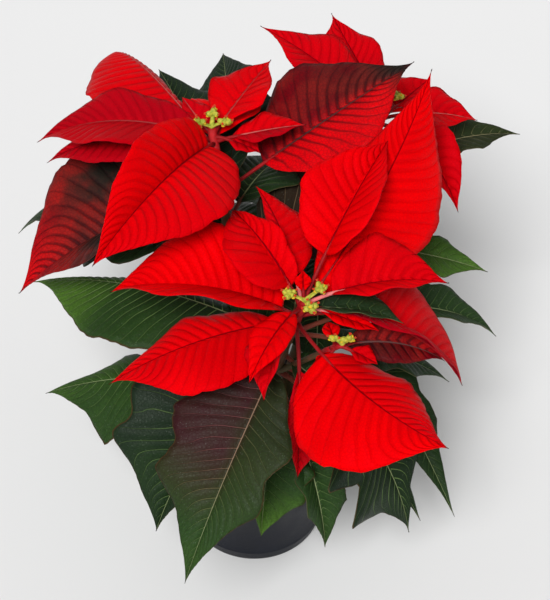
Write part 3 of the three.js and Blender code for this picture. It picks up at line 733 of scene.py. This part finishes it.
# %% Rows of the other stems
LEFT_BRACTS = [
    blade(OVATE, 294, 59, 15, 5, 11, 65, 46, roll=-10, skew=0.05, blush=(0.15, 0.15), rib=0.3),
    blade(OVATE, 293, 343, 5, -25, 11, 23, 24, roll=5, skew=0.25, blush=(0.35, 0.35)),
    blade(SLIM, 292, 126, 15, 20, 5, 34, 22, blush=(0.4, 0.4), rib=0.7),
    blade(OVATE, 290, 165, 20, -40, 12, 121, 60, skew=0.3, bend=6, fold=20, blush=(0.6, 0.45), rib=0.4),
    blade(OVATE, 290, 1, 20, 10, 15, 48, 28, bend=-4, blush=(0.5, 0.2), rib=0.9),
    blade(BROAD, 289, 246, 30, -30, 9, 137, 80, roll=-30, skew=0.2, bend=-16, fold=25,
          blush=(0.05, 0.15)),
    blade(OVATE, 286, 80, 25, -55, 12, 62, 50, roll=-5),
    blade(OVATE, 285, 132, 30, -45, 18, 148, 68, roll=10, skew=0.45, bend=-24, fold=-30,
          blush=(0.2, 0.2), rib=0.6, pale_stalk=True),
    blade(OVATE, 277, 173, 35, -45, 29, 99, 32, roll=-15, skew=0.3, fold=10, blush=(0.55, 0.55)),
]
RIGHT_BRACTS = [
    blade(TAPERED, 273, 115, 10, 20, 14, 75, 52, skew=0.3, blush=(0.3, 0.3)),
    blade(TAPERED, 268, 149, 35, 10, 14, 93, 48, blush=(0.3, 0.3)),
    blade(OVATE, 267, 353, 25, -15, 14, 54, 44, blush=(0.2, 0.3), rib=0.8),
    blade(OVATE, 267, 44, 10, 10, 16, 34, 34, roll=5, blush=(0.3, 0.3)),
    blade(OVATE, 264, 307, 35, -55, 22, 79, 36, roll=15, skew=0.3, bend=-4, fold=35, blush=(0.3, 0.3)),
    blade(OVATE, 264, 60, 10, -60, 14, 70, 56),
    blade(OVATE, 261, 190, 20, -45, 14, 58, 50),
    blade(OVATE, 260, 115, 0, -60, 14, 76, 60),
]
SIDE_BRACTS = [
    blade(SLIM, 226, 334, -5, -15, 8, 20, 16, fold=15, blush=(0.2, 0.2)),
    blade(SLIM, 223, 105, 30, -10, 5, 16, 12),
    blade(SLIM, 223, 233, -15, -15, 5, 17, 12, roll=5),
]
LEFT_TURNING_LEAVES = [
    blade(OVATE, 261, 27, 25, 20, 34, 122, 92, roll=5, skew=0.05, fold=5, tone=(0, 0.5),
          blush=(0.85, 0.25), blush_end=(0.75, 0.95), rib=0.1),
    blade(OVATE, 260, 186, -5, -40, 20, 138, 108, skew=-0.15, bend=16, fold=25, tone=(1.9, -0.3),
          blush=(0.5, 0.4), rib=0.1),
]
SIDE_TURNING_LEAVES = [
    blade(OVATE, 217, 8, 20, -40, 14, 68, 32, roll=25, bend=-12, fold=15, tone=(0.5, 0),
          blush=(0.25, 0.4), rib=0.2),
]
LEFT_LEAVES = [
    leaf(244, 89, 20, -15, 32, 145, 76, roll=-30, bend=6, tone=(0, 0)),
    leaf(243, 110, 25, -10, 30, 124, 60, tone=(0, 0)),
    leaf(243, 294, 15, -35, 16, 67, 56, roll=5, tone=(0.1, 0.1)),
    leaf(242, 67, 15, -40, 20, 84, 64, roll=-5),
    leaf(238, 15, 5, -20, 20, 90, 84, roll=5, tone=(0.1, 0.1), blush=(0.8, 0.6), blush_end=(0.5, 0.8)),
    leaf(229, 146, 5, -55, 34, 192, 60, roll=-5),
    leaf(228, 158, -5, -45, 34, 116, 64),
    leaf(223, 88, 10, -40, 12, 66, 56),
    leaf(213, 120, 0, -50, 30, 100, 60, tone=(0.3, 0.4)),
    leaf(188, 169, 0, -50, 30, 94, 60, tone=(0.3, 0.4)),
    leaf(173, 75, -10, -50, 30, 90, 60, tone=(0.3, 0.5)),
]
RIGHT_LEAVES = [
    leaf(236, 80, 0, -50, 24, 96, 66),
    leaf(233, 19, 30, -20, 34, 94, 44, tone=(0.3, 0.3), blush=(0.4, 0.3)),
    leaf(213, 135, 0, -50, 24, 90, 60, tone=(0.3, 0.4)),
    leaf(198, 352, 10, -20, 34, 77, 44, skew=-0.2, tone=(0.5, 0.85)),
    leaf(193, 20, 0, -50, 30, 90, 60, tone=(0.25, 0.3)),
    leaf(179, 304, -15, -45, 34, 157, 40),
    leaf(176, 268, 0, -30, 10, 62, 56, roll=-5),
]
print(len(LEFT_BRACTS + RIGHT_BRACTS + SIDE_BRACTS), "more bracts and",
      len(LEFT_LEAVES + RIGHT_LEAVES), "more leaves")

# %% [markdown]
# ## The curve of a blade
# The midrib starts at the stem and turns steadily from its first slope to its last, so it can be
# walked in short steps. At every distance along it there are three directions: forward along the
# midrib, left across the blade, and up out of its upper face. Everything else hangs on them.

# %% Midrib
CURVE_STEPS = 24


def directions(row, share):
    slope = math.radians(lerp(row.rise, row.fall, share))
    heading = math.radians(row.heading + row.bend * share)
    level = math.cos(slope)
    forward = Vector((level * math.cos(heading), level * math.sin(heading), math.sin(slope)))
    left = Vector((-math.sin(heading), math.cos(heading), 0))
    return forward, left, forward.cross(left)


def midrib(stem, row):
    """Returns a function from distance to the midrib's point, left and up."""
    whole = row.stalk + row.length
    step = whole / CURVE_STEPS
    points = [stem_point(stem, row.height)]
    for i in range(CURVE_STEPS):
        points.append(points[-1] + directions(row, (i + 0.5) / CURVE_STEPS)[0] * step)
    roll = math.radians(row.roll)

    def at(distance):
        place = min(max(distance, 0) / step, CURVE_STEPS - 1e-6)  # the last step has an end too
        i = int(place)
        left, up = directions(row, distance / whole)[1:]
        turned_left = left * math.cos(roll) + up * math.sin(roll)
        turned_up = up * math.cos(roll) - left * math.sin(roll)
        return points[i].lerp(points[i + 1], place - i), turned_left, turned_up

    return at


print("a midrib is walked in", CURVE_STEPS, "steps")

# %% [markdown]
# ## The surface of a blade
# A blade starts as a grid. Its rows are swept forward like side veins, so the mesh can rise into a
# little pillow between each pair of veins without any extra cuts. Then the outline sets the width,
# the two halves fold along the midrib and their edges wave. A displacement texture could make the
# pillows too, but real geometry holds up in profile and in the exported mesh.

# %% Outline of a blade
LOBES = (0.3, 0.58)  # where the pointed lobes of a green leaf stand
LOBE_REACH = 0.13
RIPPLES = ((5, 0.016), (11, 0.010), (23, 0.006))  # count along and share of the width


def half_width(row, t, side):
    form = row.form
    power = lerp(form.base_round, form.tip_taper, t)
    half = row.width / 2 * max(0, math.sin(math.pi * t ** form.spread)) ** power
    if row.lobe:
        peak = max(0, *(1 - abs(t - place) / LOBE_REACH for place in LOBES))
        half *= 1 - row.lobe / 2 + row.lobe * peak
    phase = row.height + side
    return half * (1 + sum(size * math.sin(math.tau * count * t + phase) for count, size in RIPPLES))


print("lobes at", LOBES, "of the length of a leaf")

# %% Blade surface
BASE_HALF_WIDTH = 1.3
BASE_FADE = 12  # that least width fades within a 12th of the length
WAVE, WAVES, WAVE_SHIFT = 2.5, 2.5, 1.2  # height in mm, count along, left-to-right shift
FULL_WIDTH = 50  # a narrower blade is less uneven in proportion
BULGE = 0.07  # how much each half arches, as a share of its width
PILLOW = 1.1  # height of the pillows between the veins, in mm
PILLOW_START, PILLOW_END = 4, 8  # how sharply they start at the midrib and end at the edge
GROOVE, GROOVE_WIDTH = 0.55, 1.1  # depth and width of the channel over the midrib
CRINKLE, CRINKLE_SPAN = 0.9, 17  # slow unevenness of the blade, and its length, in mm


def blade_point(row, curve, t, u, rung):
    side = math.copysign(1, u)
    point, left, up = curve(row.stalk + t * row.length)
    half = half_width(row, t, side)
    fold = math.radians(row.fold)
    width = half * (1 + row.skew * side) * math.cos(fold)
    reach = max(width, BASE_HALF_WIDTH * max(0, 1 - BASE_FADE * t)) * u
    phase = math.tau * WAVES * t + (WAVE_SHIFT if u > 0 else 0)
    spread = 2 * half / row.width
    place = point + left * reach
    pillow = (abs(math.sin(math.pi * rung)) - 0.5) * min(1, PILLOW_START * abs(u))
    pillow *= 1 - abs(u) ** PILLOW_END
    uneven = WAVE * spread * u * u * math.sin(phase)
    uneven += PILLOW * pillow * min(1, 2 * spread)
    uneven += CRINKLE * spread * abs(u) * noise.noise(place / CRINKLE_SPAN)
    lift = abs(u) * half * math.sin(fold) + BULGE * half * 4 * abs(u) * (1 - abs(u))
    lift += uneven * min(1, row.width / FULL_WIDTH)
    lift -= GROOVE * math.exp(-(reach / GROOVE_WIDTH) ** 2)
    return place + up * lift, up, abs(reach)


print("pillows of", PILLOW, "mm between the side veins")

# %% [markdown]
# ## Growing the blades of a node
# All blades of one node go into one mesh. The grid becomes the upper face. Extruding it whole adds a
# rim and a lower face, whose vertices are marked "under" and moved down along their own normals. The
# Solidify modifier could do it too, but where the edge waves tightly its even offset can throw out
# spikes. Doubles at the tip are merged first, because a whole row of the grid meets there.

# %% Colours of a blade
BLUSH_EDGE = 6  # how sharply the blush of one half turns into that of the other


def blade_colour(row, t, u):
    share = 0.5 + 0.5 * max(-1, min(1, BLUSH_EDGE * u))
    start, end = row.blush_end
    kept = max(0, min(1, (end - t) / (end - start)))
    return lerp(*row.tone, t), lerp(*row.blush, share) * kept


print("tone and blush are worked out for each point of a blade")

# %% Growing a blade
LAYERS = ("across", "along", "rung", "pitch", "reach", "tone", "blush", "rib", "under")
BLADE_THICKNESS = 0.45
COLUMN_WIDTH = 3.2
COLUMN_CROWD = 1.3  # columns crowd towards the midrib
RUNG_SPACING = 7  # millimetres between side veins on a large blade
ROWS_PER_RUNG = 4
SWEEP = 0.65  # how far the side veins lean forward, as a share of their reach
SWEEP_CURVE = 1.1  # above 1 the side veins bend forward towards the edge
MAX_SWEEP = 0.27  # they lean forward by at most this share of the length of the blade
WAVER, WAVER_SPAN = 0.22, 30  # how far side veins stray, in spacings, and over how many mm
WAVER_START = 3  # how sharply that starts at the midrib
MERGE_DISTANCE = 0.01  # in mm, for points that meet at a tip or on an axis


def grow_blade(mesh, stem, row):
    part = bmesh.new()
    layers = {title: part.verts.layers.float.new(title) for title in LAYERS}
    curve = midrib(stem, row)
    rungs = max(4, round(row.length / RUNG_SPACING))
    columns = 2 * max(4, round(row.width / 2 / COLUMN_WIDTH))
    sweep = min(MAX_SWEEP, SWEEP * row.width / 2 / row.length)
    bmesh.ops.create_grid(part, x_segments=rungs * ROWS_PER_RUNG, y_segments=columns, size=1)
    for vert in part.verts:
        v = (vert.co.x + 1) / 2
        u = math.copysign(abs(vert.co.y) ** COLUMN_CROWD, vert.co.y)
        t = min(1, v + sweep * abs(u) ** SWEEP_CURVE * math.sin(math.pi * v))
        stray = noise.noise(Vector((v * row.length, u * row.width, row.height)) / WAVER_SPAN)
        waver = WAVER * min(1, WAVER_START * abs(u)) * stray
        rung = v * rungs + (0.5 if u > 0 else 0) + waver  # left and right veins alternate
        place, up, reach = blade_point(row, curve, t, u, rung)
        tone, blush = blade_colour(row, t, u)
        values = (u, t, rung, row.length / rungs * MM, reach * MM, tone, blush, row.rib, 0)
        for name, value in zip(LAYERS, values):
            vert[layers[name]] = value
        vert.co = (place + up * BLADE_THICKNESS / 2) * MM
    bmesh.ops.remove_doubles(part, verts=part.verts, dist=MERGE_DISTANCE * MM)
    copied = bmesh.ops.extrude_face_region(part, geom=part.faces[:], use_keep_orig=True)
    part.normal_update()
    for vert in (item for item in copied["geom"] if isinstance(item, bmesh.types.BMVert)):
        vert[layers["under"]] = 1
        vert.co -= vert.normal * BLADE_THICKNESS * MM
    bmesh.ops.recalc_face_normals(part, faces=part.faces)
    join(mesh, part)


print("each point of a blade carries", ", ".join(LAYERS))

# %% The blades
def grow_blades(name, stem, rows, material, node):
    mesh = bmesh.new()
    for row in rows:
        grow_blade(mesh, stem, row)
    new_piece(name, mesh, material, node)


MAIN_STEMS = (
    ("front", FRONT_BRACTS, FRONT_LEAVES), ("left", LEFT_BRACTS, LEFT_LEAVES),
    ("right", RIGHT_BRACTS, RIGHT_LEAVES),
)
for side, bracts, leaves in MAIN_STEMS:
    grow_blades(f"bract_blades_{side}", STEMS[side], bracts, bract_red, f"bracts_{side}")
    grow_blades(f"leaf_blades_{side}", STEMS[side], leaves, leaf_green, f"leafy_stem_{side}")
grow_blades("bract_blades_side", STEMS["side"], SIDE_BRACTS, bract_red, "bracts_side")
grow_blades("green_bract_blade", STEMS["front"], GREEN_BRACTS, leaf_green, "bracts_front")
grow_blades("turning_blades_left", STEMS["left"], LEFT_TURNING_LEAVES, turning_leaf,
            "turning_leaves_left")
grow_blades("turning_blade_side", STEMS["side"], SIDE_TURNING_LEAVES, turning_leaf,
            "turning_leaf_side")

# %% [markdown]
# ## Stalks and midribs
# A stalk swells where it meets the stem, runs out to the blade, and goes on below it as the raised
# rib that stiffens it, thinner and thinner towards the tip. It is the same tube as the stem, on the
# midrib's curve. Only on its upper face does the blade show a channel in place of the rib.

# %% Growing stalks
STALK_SIDES = 8
STALK_RINGS = 20
LEAF_STALK, OTHER_STALK = 1.6, 1.3  # radius of the stalk of a lobed leaf, and of any other
STALK_SWELL = 0.5  # how much thicker a stalk is at the stem, as a share
SWELL_FADE = 6  # how quickly that is gone
RIB_END = 0.9  # the raised rib ends at this share of the blade
RIB_TIP = 0.3  # its radius there
RIB_THINNING = 0.6  # below 1 the rib thins most at its start
RIB_SINK = 0.75  # how deep it lies below the blade, in its own radius
SINK_RUN = 0.1  # the share of the tube in which it goes down there


def grow_stalk(mesh, stem, row):
    curve = midrib(stem, row)
    thick = LEAF_STALK if row.form is LEAF else OTHER_STALK
    root = stem_radius(stem, row.height) / 2
    end = row.stalk + RIB_END * row.length
    stalk_share = (row.stalk - root) / (end - root)

    def radius(share, angle):
        if share < stalk_share:
            return thick * (1 + STALK_SWELL * math.exp(-share / stalk_share * SWELL_FADE))
        return lerp(thick, RIB_TIP, ((share - stalk_share) / (1 - stalk_share)) ** RIB_THINNING)

    def path(share):
        point, left, up = curve(lerp(root, end, share))
        sunk = min(1, max(0, (share - stalk_share) / SINK_RUN))
        return point - up * (sunk * (radius(share, 0) * RIB_SINK + GROOVE)), left, up

    grow_tube(mesh, path, radius, STALK_SIDES, STALK_RINGS)


def grow_stalks(name, stem, rows, material, node, stretch=None):
    """One mesh of stalks, and with them the stretch of stem between two heights."""
    mesh = bmesh.new()
    for row in rows:
        grow_stalk(mesh, stem, row)
    if stretch:
        grow_stem(mesh, stem, *stretch, [row.height for row in rows])
    new_piece(name, mesh, material, node)


print("ribs reach to", RIB_END, "of the blade")

# %% Stalks and stems
# The heights at which the red hub of the bracts begins, and the stretch with the turning leaves.
BRACT_FEET = {"front": 229, "left": 269, "right": 249, "side": 221}
TURNING_FEET = {"left": 252, "side": 213}
OLD_JOINTS = [130, 112]  # the joints of leaves that have dropped
ROWS = {
    "front": (FRONT_BRACTS + GREEN_BRACTS, FRONT_LEAVES, []),
    "left": (LEFT_BRACTS, LEFT_LEAVES, LEFT_TURNING_LEAVES),
    "right": (RIGHT_BRACTS, RIGHT_LEAVES, []),
    "side": (SIDE_BRACTS, [], SIDE_TURNING_LEAVES),
}

for side, (bracts, leaves, turning) in ROWS.items():
    stem = STEMS[side]
    node = "leafy_stem_front" if side == "side" else f"leafy_stem_{side}"
    bract_foot = BRACT_FEET[side]
    leaf_end = TURNING_FEET.get(side, bract_foot) - GAP
    pale = [row for row in bracts if row.pale_stalk]
    red = [row for row in bracts if not row.pale_stalk]
    grow_stalks(f"bract_stalks_{side}", stem, red, bract_stalk, f"bracts_{side}",
                (bract_foot, stem.top[2]))
    if pale:
        grow_stalks(f"pale_stalks_{side}", stem, pale, pale_stalk, f"bracts_{side}")
    if turning:
        turning_node = "turning_leaves_left" if side == "left" else "turning_leaf_side"
        grow_stalks(f"turning_stalks_{side}", stem, turning, bract_stalk, turning_node,
                    (TURNING_FEET[side], bract_foot - GAP))
    if leaves:
        grow_stalks(f"leaf_stalks_{side}", stem, leaves, leaf_stalk, node)
    mesh = bmesh.new()
    foot = stem.foot[2] if side == "side" else HOLE_BOTTOM
    grow_stem(mesh, stem, foot, leaf_end, [row.height for row in leaves] + OLD_JOINTS)
    new_piece(f"stem_{side}", mesh, stem_bark, node)

# %% [markdown]
# ## Cyathia
# A cyathium is a cup the size of a small pea. On its side sits a yellow gland shaped like a pair of
# lips, and red stamens stand out of its mouth. All of it could be sculpted, but it is only a few
# millimetres big, so the cup is a profile spun round an axis, the gland a squashed sphere with a
# dent, and the stamens are tiny cones.

# %% Spinning a profile
def spin_profile(mesh, profile, sides, scale=1):
    """Spins a line of points, each given by its radius and height, round the z axis."""
    line = [mesh.verts.new((radius * scale, 0, height * scale)) for radius, height in profile]
    edges = [mesh.edges.new(pair) for pair in zip(line, line[1:])]
    bmesh.ops.spin(mesh, geom=line + edges, cent=(0, 0, 0), axis=(0, 0, 1), angle=math.tau,
                   steps=sides, use_merge=True)
    bmesh.ops.remove_doubles(mesh, verts=mesh.verts, dist=MERGE_DISTANCE * scale)
    bmesh.ops.recalc_face_normals(mesh, faces=mesh.faces)


print("profiles are spun round the z axis")

# %% Gland and stamens
GLAND_CELLS = (10, 6)
GLAND_PLACE = Vector((1.9, 0, 4.1))
GLAND_SIZE = Vector((0.8, 1.35, 0.85))
GLAND_DENT, DENT_WIDTH = 0.45, 0.45
STAMENS = 6
STAMEN_SIDES = 5
STAMEN_LENGTH = 2.4
STAMEN_LENGTHS = (0.6, 1.1)  # as a share of that
STAMEN_THREAD, STAMEN_KNOB = 0.16, 0.34  # radii
STAMEN_PLACE = (0.35, 0, 5.9)
STAMEN_LEAN = (8, 30)  # degrees


def set_ripe(verts, ripe_layer, value):
    for vert in verts:
        vert[ripe_layer] = value


def grow_gland(mesh, ripe_layer):
    wide, high = GLAND_CELLS
    gland = bmesh.ops.create_uvsphere(mesh, u_segments=wide, v_segments=high, radius=1)["verts"]
    for vert in gland:
        dent = GLAND_DENT * math.exp(-(vert.co.z / DENT_WIDTH) ** 2) * max(0, vert.co.x)
        vert.co = Vector((c * size for c, size in zip(vert.co, GLAND_SIZE)))
        vert.co.x -= dent
    bmesh.ops.translate(mesh, vec=GLAND_PLACE, verts=gland)
    set_ripe(gland, ripe_layer, GLAND_RIPE)


def grow_stamens(mesh, ripe_layer, chance):
    for i in range(STAMENS):
        stamen = bmesh.ops.create_cone(
            mesh, cap_ends=True, segments=STAMEN_SIDES, radius1=STAMEN_THREAD, radius2=STAMEN_KNOB,
            depth=STAMEN_LENGTH * chance.uniform(*STAMEN_LENGTHS),
        )["verts"]
        lean = Matrix.Rotation(math.radians(chance.uniform(*STAMEN_LEAN)), 4, "Y")
        turn = Matrix.Rotation(math.tau * i / STAMENS, 4, "Z")
        place = turn @ Matrix.Translation(STAMEN_PLACE) @ lean
        bmesh.ops.transform(mesh, matrix=place, verts=stamen)
        set_ripe(stamen, ripe_layer, STAMEN_RIPE)


print("a gland, and", STAMENS, "stamens for each cyathium")

# %% One cyathium
CUP_PROFILE = (  # radius and height in mm
    (0, 0), (0.9, 0.1), (1.7, 0.9), (2.15, 2.2), (2.1, 3.4), (1.6, 4.5), (1.15, 5.0), (1.0, 5.5),
    (0.7, 5.0), (0, 4.6),
)
CUP_SIDES = 12


def grow_cyathium(chance):
    cyathium = bmesh.new()
    ripe_layer = cyathium.verts.layers.float.new("ripe")
    spin_profile(cyathium, CUP_PROFILE, CUP_SIDES)
    grow_gland(cyathium, ripe_layer)
    grow_stamens(cyathium, ripe_layer, chance)
    return cyathium


print("the cup of a cyathium has", CUP_SIDES, "sides")

# %% [markdown]
# ## Clusters of cyathia
# A few short forks spread from the top of each stem, and each ends in a fan of cyathia round an
# upright one. They could be scattered by geometry nodes, but a loop says plainly where each one sits.
# A seeded chance gives each its own lean, turn and size, because no two open at the same time.

# %% Seating a cyathium
CYATHIUM_TURN = 0.9  # radians to either side
CYATHIUM_SIZES = (0.85, 1.08)


def add_cyathium(mesh, chance, seat, tilt, heading):
    cyathium = grow_cyathium(chance)
    seated = Matrix.Translation(seat * MM) @ Matrix.Rotation(heading, 4, "Z")
    spin = Matrix.Rotation(chance.uniform(-CYATHIUM_TURN, CYATHIUM_TURN), 4, "Z")
    size = Matrix.Scale(chance.uniform(*CYATHIUM_SIZES) * MM, 4)
    place = seated @ Matrix.Rotation(tilt, 4, "Y") @ spin @ size
    bmesh.ops.transform(cyathium, matrix=place, verts=cyathium.verts)
    join(mesh, cyathium)


print("cyathia from", CYATHIUM_SIZES[0], "to", CYATHIUM_SIZES[1], "times their size")

# %% The clusters
# Heading in degrees, reach and rise in mm of each fork, and how many cyathia fan out at its end.
FORKS = {
    "front": ((168, 10, 2, 5), (25, 11, 4, 4), (290, 10, 1, 4)),
    "left": ((195, 9, 3, 4), (345, 9, 4, 4), (80, 6, 5, 3)),
    "right": ((150, 7, 4, 3), (350, 7, 3, 3)),
    "side": ((170, 4, 1.5, 2), (0, 4, 1.5, 2)),
}
FORK_RADII = (1.9, 1.2)
FORK_SIDES, FORK_RINGS = 10, 8
FORK_LIFT = 2  # added to the rise of each fork
FORK_BOW = 1.4  # above 1 a fork goes up first and outwards later
FAN_TILT, UPRIGHT_TILT = 62, 8  # degrees from upright
FAN_WOBBLE = (-10, 6)  # and how far chance tilts a fanned cyathium from that
SEAT_SINK = 1


def grow_cluster(side):
    chance = random.Random(f"cluster {side}")
    mesh = bmesh.new()
    mesh.verts.layers.float.new("ripe")
    foot = Vector(STEMS[side].top) + Z_AXIS * GAP
    for heading, reach, height, count in FORKS[side]:
        angle = math.radians(heading)
        out = Vector((math.cos(angle), math.sin(angle), 0))
        left = Vector((-out.y, out.x, 0))
        lift = height + FORK_LIFT

        def path(share):
            bowed = out * reach * share ** FORK_BOW + Vector((0, 0, lift * share))
            return foot + bowed, left.cross(Z_AXIS), left

        grow_tube(mesh, path, lambda share, angle: lerp(*FORK_RADII, share), FORK_SIDES, FORK_RINGS)
        seat = foot + out * reach + Z_AXIS * lift - Z_AXIS * SEAT_SINK
        add_cyathium(mesh, chance, seat, math.radians(UPRIGHT_TILT), angle)
        for i in range(count):
            tilt = math.radians(FAN_TILT + chance.uniform(*FAN_WOBBLE))
            add_cyathium(mesh, chance, seat, tilt, angle + math.tau * i / count)
    new_piece(f"flower_cluster_{side}", mesh, cyathium_finish, f"cyathia_{side}")


for side in FORKS:
    grow_cluster(side)

# %% [markdown]
# ## Pot
# The pot is one wall of moulded plastic, with a band below its mouth and a foot that keeps its base
# off the ground. It could be a cone with a Solidify modifier, but then band, bead and foot would need
# cuts of their own. A profile of its outer side, rim and inner side, spun round the axis, has them
# all. Its two ends lie on the axis, where a spin leaves many points in one place, to be merged.

# %% Sizes of the pot
POT_HEIGHT, POT_BASE, POT_MOUTH = 105, 47.5, 62.5  # height, outer radii below and above
POT_WALL, POT_FLOOR = 1.6, 2.4
RIM_HEIGHT, RIM_STEP = 13, 2.2  # the band below the mouth, and how far it stands out
BEAD = 0.35  # a thin raised ring round the foot
POT_MIDDLE = 50
FLOOR_CORNER = 3  # how far the corner between floor and wall is cut off
POT_SIDES = 128


def wall_radius(height):
    return lerp(POT_BASE, POT_MOUTH, height / POT_HEIGHT)


def on_wall(height, out=0):
    """A point of the profile, as far out from the tapered outer side as out says."""
    return wall_radius(height) + out, height


print("a pot", POT_HEIGHT, "mm high, with a mouth of", 2 * POT_MOUTH, "mm")

# %% Pot
rim_foot = POT_HEIGHT - RIM_HEIGHT
rim_root = wall_radius(rim_foot)
rim_out = POT_MOUTH + RIM_STEP
mouth_in = POT_MOUTH - POT_WALL
foot_ring = [(0, 0.9), (40, 0.9), (41, 0), (45, 0), (46.2, 0.3), (47.2, 0.9), on_wall(2.4)]
outer_side = [
    on_wall(8), on_wall(8.6, BEAD), on_wall(9.6, BEAD), on_wall(10.2), on_wall(POT_MIDDLE),
    on_wall(rim_foot - 0.8),
]
rim_band = [
    (rim_root + 0.5, rim_foot - 0.2), (rim_root + RIM_STEP - 0.3, rim_foot + 0.3),
    (rim_root + RIM_STEP, rim_foot + 1), (rim_out - 0.1, POT_HEIGHT - 1.2),
    (rim_out - 0.5, POT_HEIGHT - 0.3), (rim_out - 1.2, POT_HEIGHT), (mouth_in + 0.5, POT_HEIGHT),
    (mouth_in, POT_HEIGHT - 0.6),
]
inner_side = [
    on_wall(POT_MIDDLE, -POT_WALL), on_wall(4, -POT_WALL), on_wall(POT_FLOOR, -FLOOR_CORNER),
    (0, POT_FLOOR),
]

mesh = bmesh.new()
spin_profile(mesh, foot_ring + outer_side + rim_band + inner_side, POT_SIDES, MM)
pot = new_piece("nursery_pot", mesh, pot_plastic, "pot")

# %% [markdown]
# ## Drain holes
# Water leaves the pot through a ring of holes in its base. Faces could be deleted and bridged there,
# but the base is a fan of long thin faces, so a Boolean with a ring of drills is cleaner. It is
# applied at once, so the piece carries no live modifier.

# %% Drain holes
DRAIN_HOLES, DRAIN_SIDES = 6, 24
DRAIN_RADIUS = 4.5
DRAIN_RING = 33  # radius of the ring on which the holes lie
DRILL_DEPTH = 3 * POT_FLOOR

drill = bmesh.new()
for i in range(DRAIN_HOLES):
    angle = math.tau * (i + 0.5) / DRAIN_HOLES
    place = Vector((DRAIN_RING * math.cos(angle), DRAIN_RING * math.sin(angle), POT_FLOOR / 2)) * MM
    bmesh.ops.create_cone(drill, cap_ends=True, segments=DRAIN_SIDES, radius1=DRAIN_RADIUS * MM,
                          radius2=DRAIN_RADIUS * MM, depth=DRILL_DEPTH * MM,
                          matrix=Matrix.Translation(place))
drills = new_object("drills", drill, pot_plastic)
cut = pot.modifiers.new("drain holes", "BOOLEAN")
cut.operation = "DIFFERENCE"
cut.object = drills
bpy.context.view_layer.update()
drilled = bpy.data.meshes.new_from_object(pot.evaluated_get(bpy.context.evaluated_depsgraph_get()))
pot.modifiers.clear()
pot.data = drilled
bpy.data.objects.remove(drills)
print("pot drilled:", len(pot.data.polygons), "faces")

# %% Crisp edges of the pot
SHARP_ANGLE = 32  # degrees

pot.data.set_sharp_from_angle(angle=math.radians(SHARP_ANGLE))
print("edges above", SHARP_ANGLE, "degrees are sharp")

# %% [markdown]
# ## Soil
# The soil fills the pot to just below its rim. A spun profile gives a disc with a side and a bottom,
# and its top is roughened with three sizes of noise. A Displace modifier could do that, but a
# function of our own also says how high the soil is where a crumb has to lie.

# %% Soil
SOIL_TOP, SOIL_BOTTOM = 94, 2.8
SOIL_MOUND = 2  # how much higher it is in the middle
SOIL_RINGS, SOIL_SIDES = 26, 96
LUMPS = ((14, 1.3), (5, 0.9), (2.2, 0.5))  # span and height in mm
TOP_GAP, MIDDLE_GAP, BOTTOM_GAP = 0.3, 0.4, 0.7  # between soil and pot


def soil_radius(height, gap):
    return wall_radius(height) - POT_WALL - gap


soil_edge = soil_radius(SOIL_TOP, TOP_GAP)


def soil_height(x, y):
    mound = SOIL_MOUND * (1 - (x * x + y * y) / soil_edge ** 2)
    return SOIL_TOP + mound + sum(size * noise.noise(Vector((x, y, 0)) / span) for span, size in LUMPS)


mesh = bmesh.new()
perlite_layer = mesh.verts.layers.float.new("perlite")
soil_top = [(soil_edge * i / SOIL_RINGS, SOIL_TOP) for i in range(SOIL_RINGS + 1)]
soil_side = [
    (soil_radius(POT_MIDDLE, MIDDLE_GAP), POT_MIDDLE),
    (soil_radius(SOIL_BOTTOM, BOTTOM_GAP), SOIL_BOTTOM), (0, SOIL_BOTTOM),
]
spin_profile(mesh, soil_top + soil_side, SOIL_SIDES)
for vert in mesh.verts:
    if vert.co.z > SOIL_TOP - 1:
        vert.co.z = soil_height(vert.co.x, vert.co.y)
print("soil with", len(mesh.faces), "faces before the crumbs")

# %% [markdown]
# ## Crumbs and perlite
# Loose crumbs and grains of white perlite lie on the soil. A particle system could scatter them, but
# a seeded loop keeps them in the mesh of the soil. Each is the smallest icosphere pushed out of
# shape, with twenty faces only, because there are hundreds.

# %% Crumbs
CRUMBS = 520
CRUMB_SIZES = (0.6, 1.9)
CRUMB_SQUASH = (0.65, 1.1)  # how far each corner is pulled in or pushed out
CRUMB_SEAT = 0.3  # height of its middle above the soil, in its own radius
PERLITE_SHARE = 0.16

chance = random.Random("crumbs")
for i in range(CRUMBS):
    size = chance.uniform(*CRUMB_SIZES)
    radius = (soil_edge - size) * math.sqrt(chance.random())
    angle = chance.uniform(0, math.tau)
    x, y = radius * math.cos(angle), radius * math.sin(angle)
    crumb = bmesh.ops.create_icosphere(mesh, subdivisions=1, radius=size)["verts"]
    white = chance.random() < PERLITE_SHARE
    for vert in crumb:
        vert.co *= chance.uniform(*CRUMB_SQUASH)
        vert[perlite_layer] = 1 if white else 0
    bmesh.ops.translate(mesh, vec=(x, y, soil_height(x, y) + size * CRUMB_SEAT), verts=crumb)
bmesh.ops.scale(mesh, vec=(MM, MM, MM), verts=mesh.verts)
new_piece("soil_surface", mesh, potting_soil, "soil")
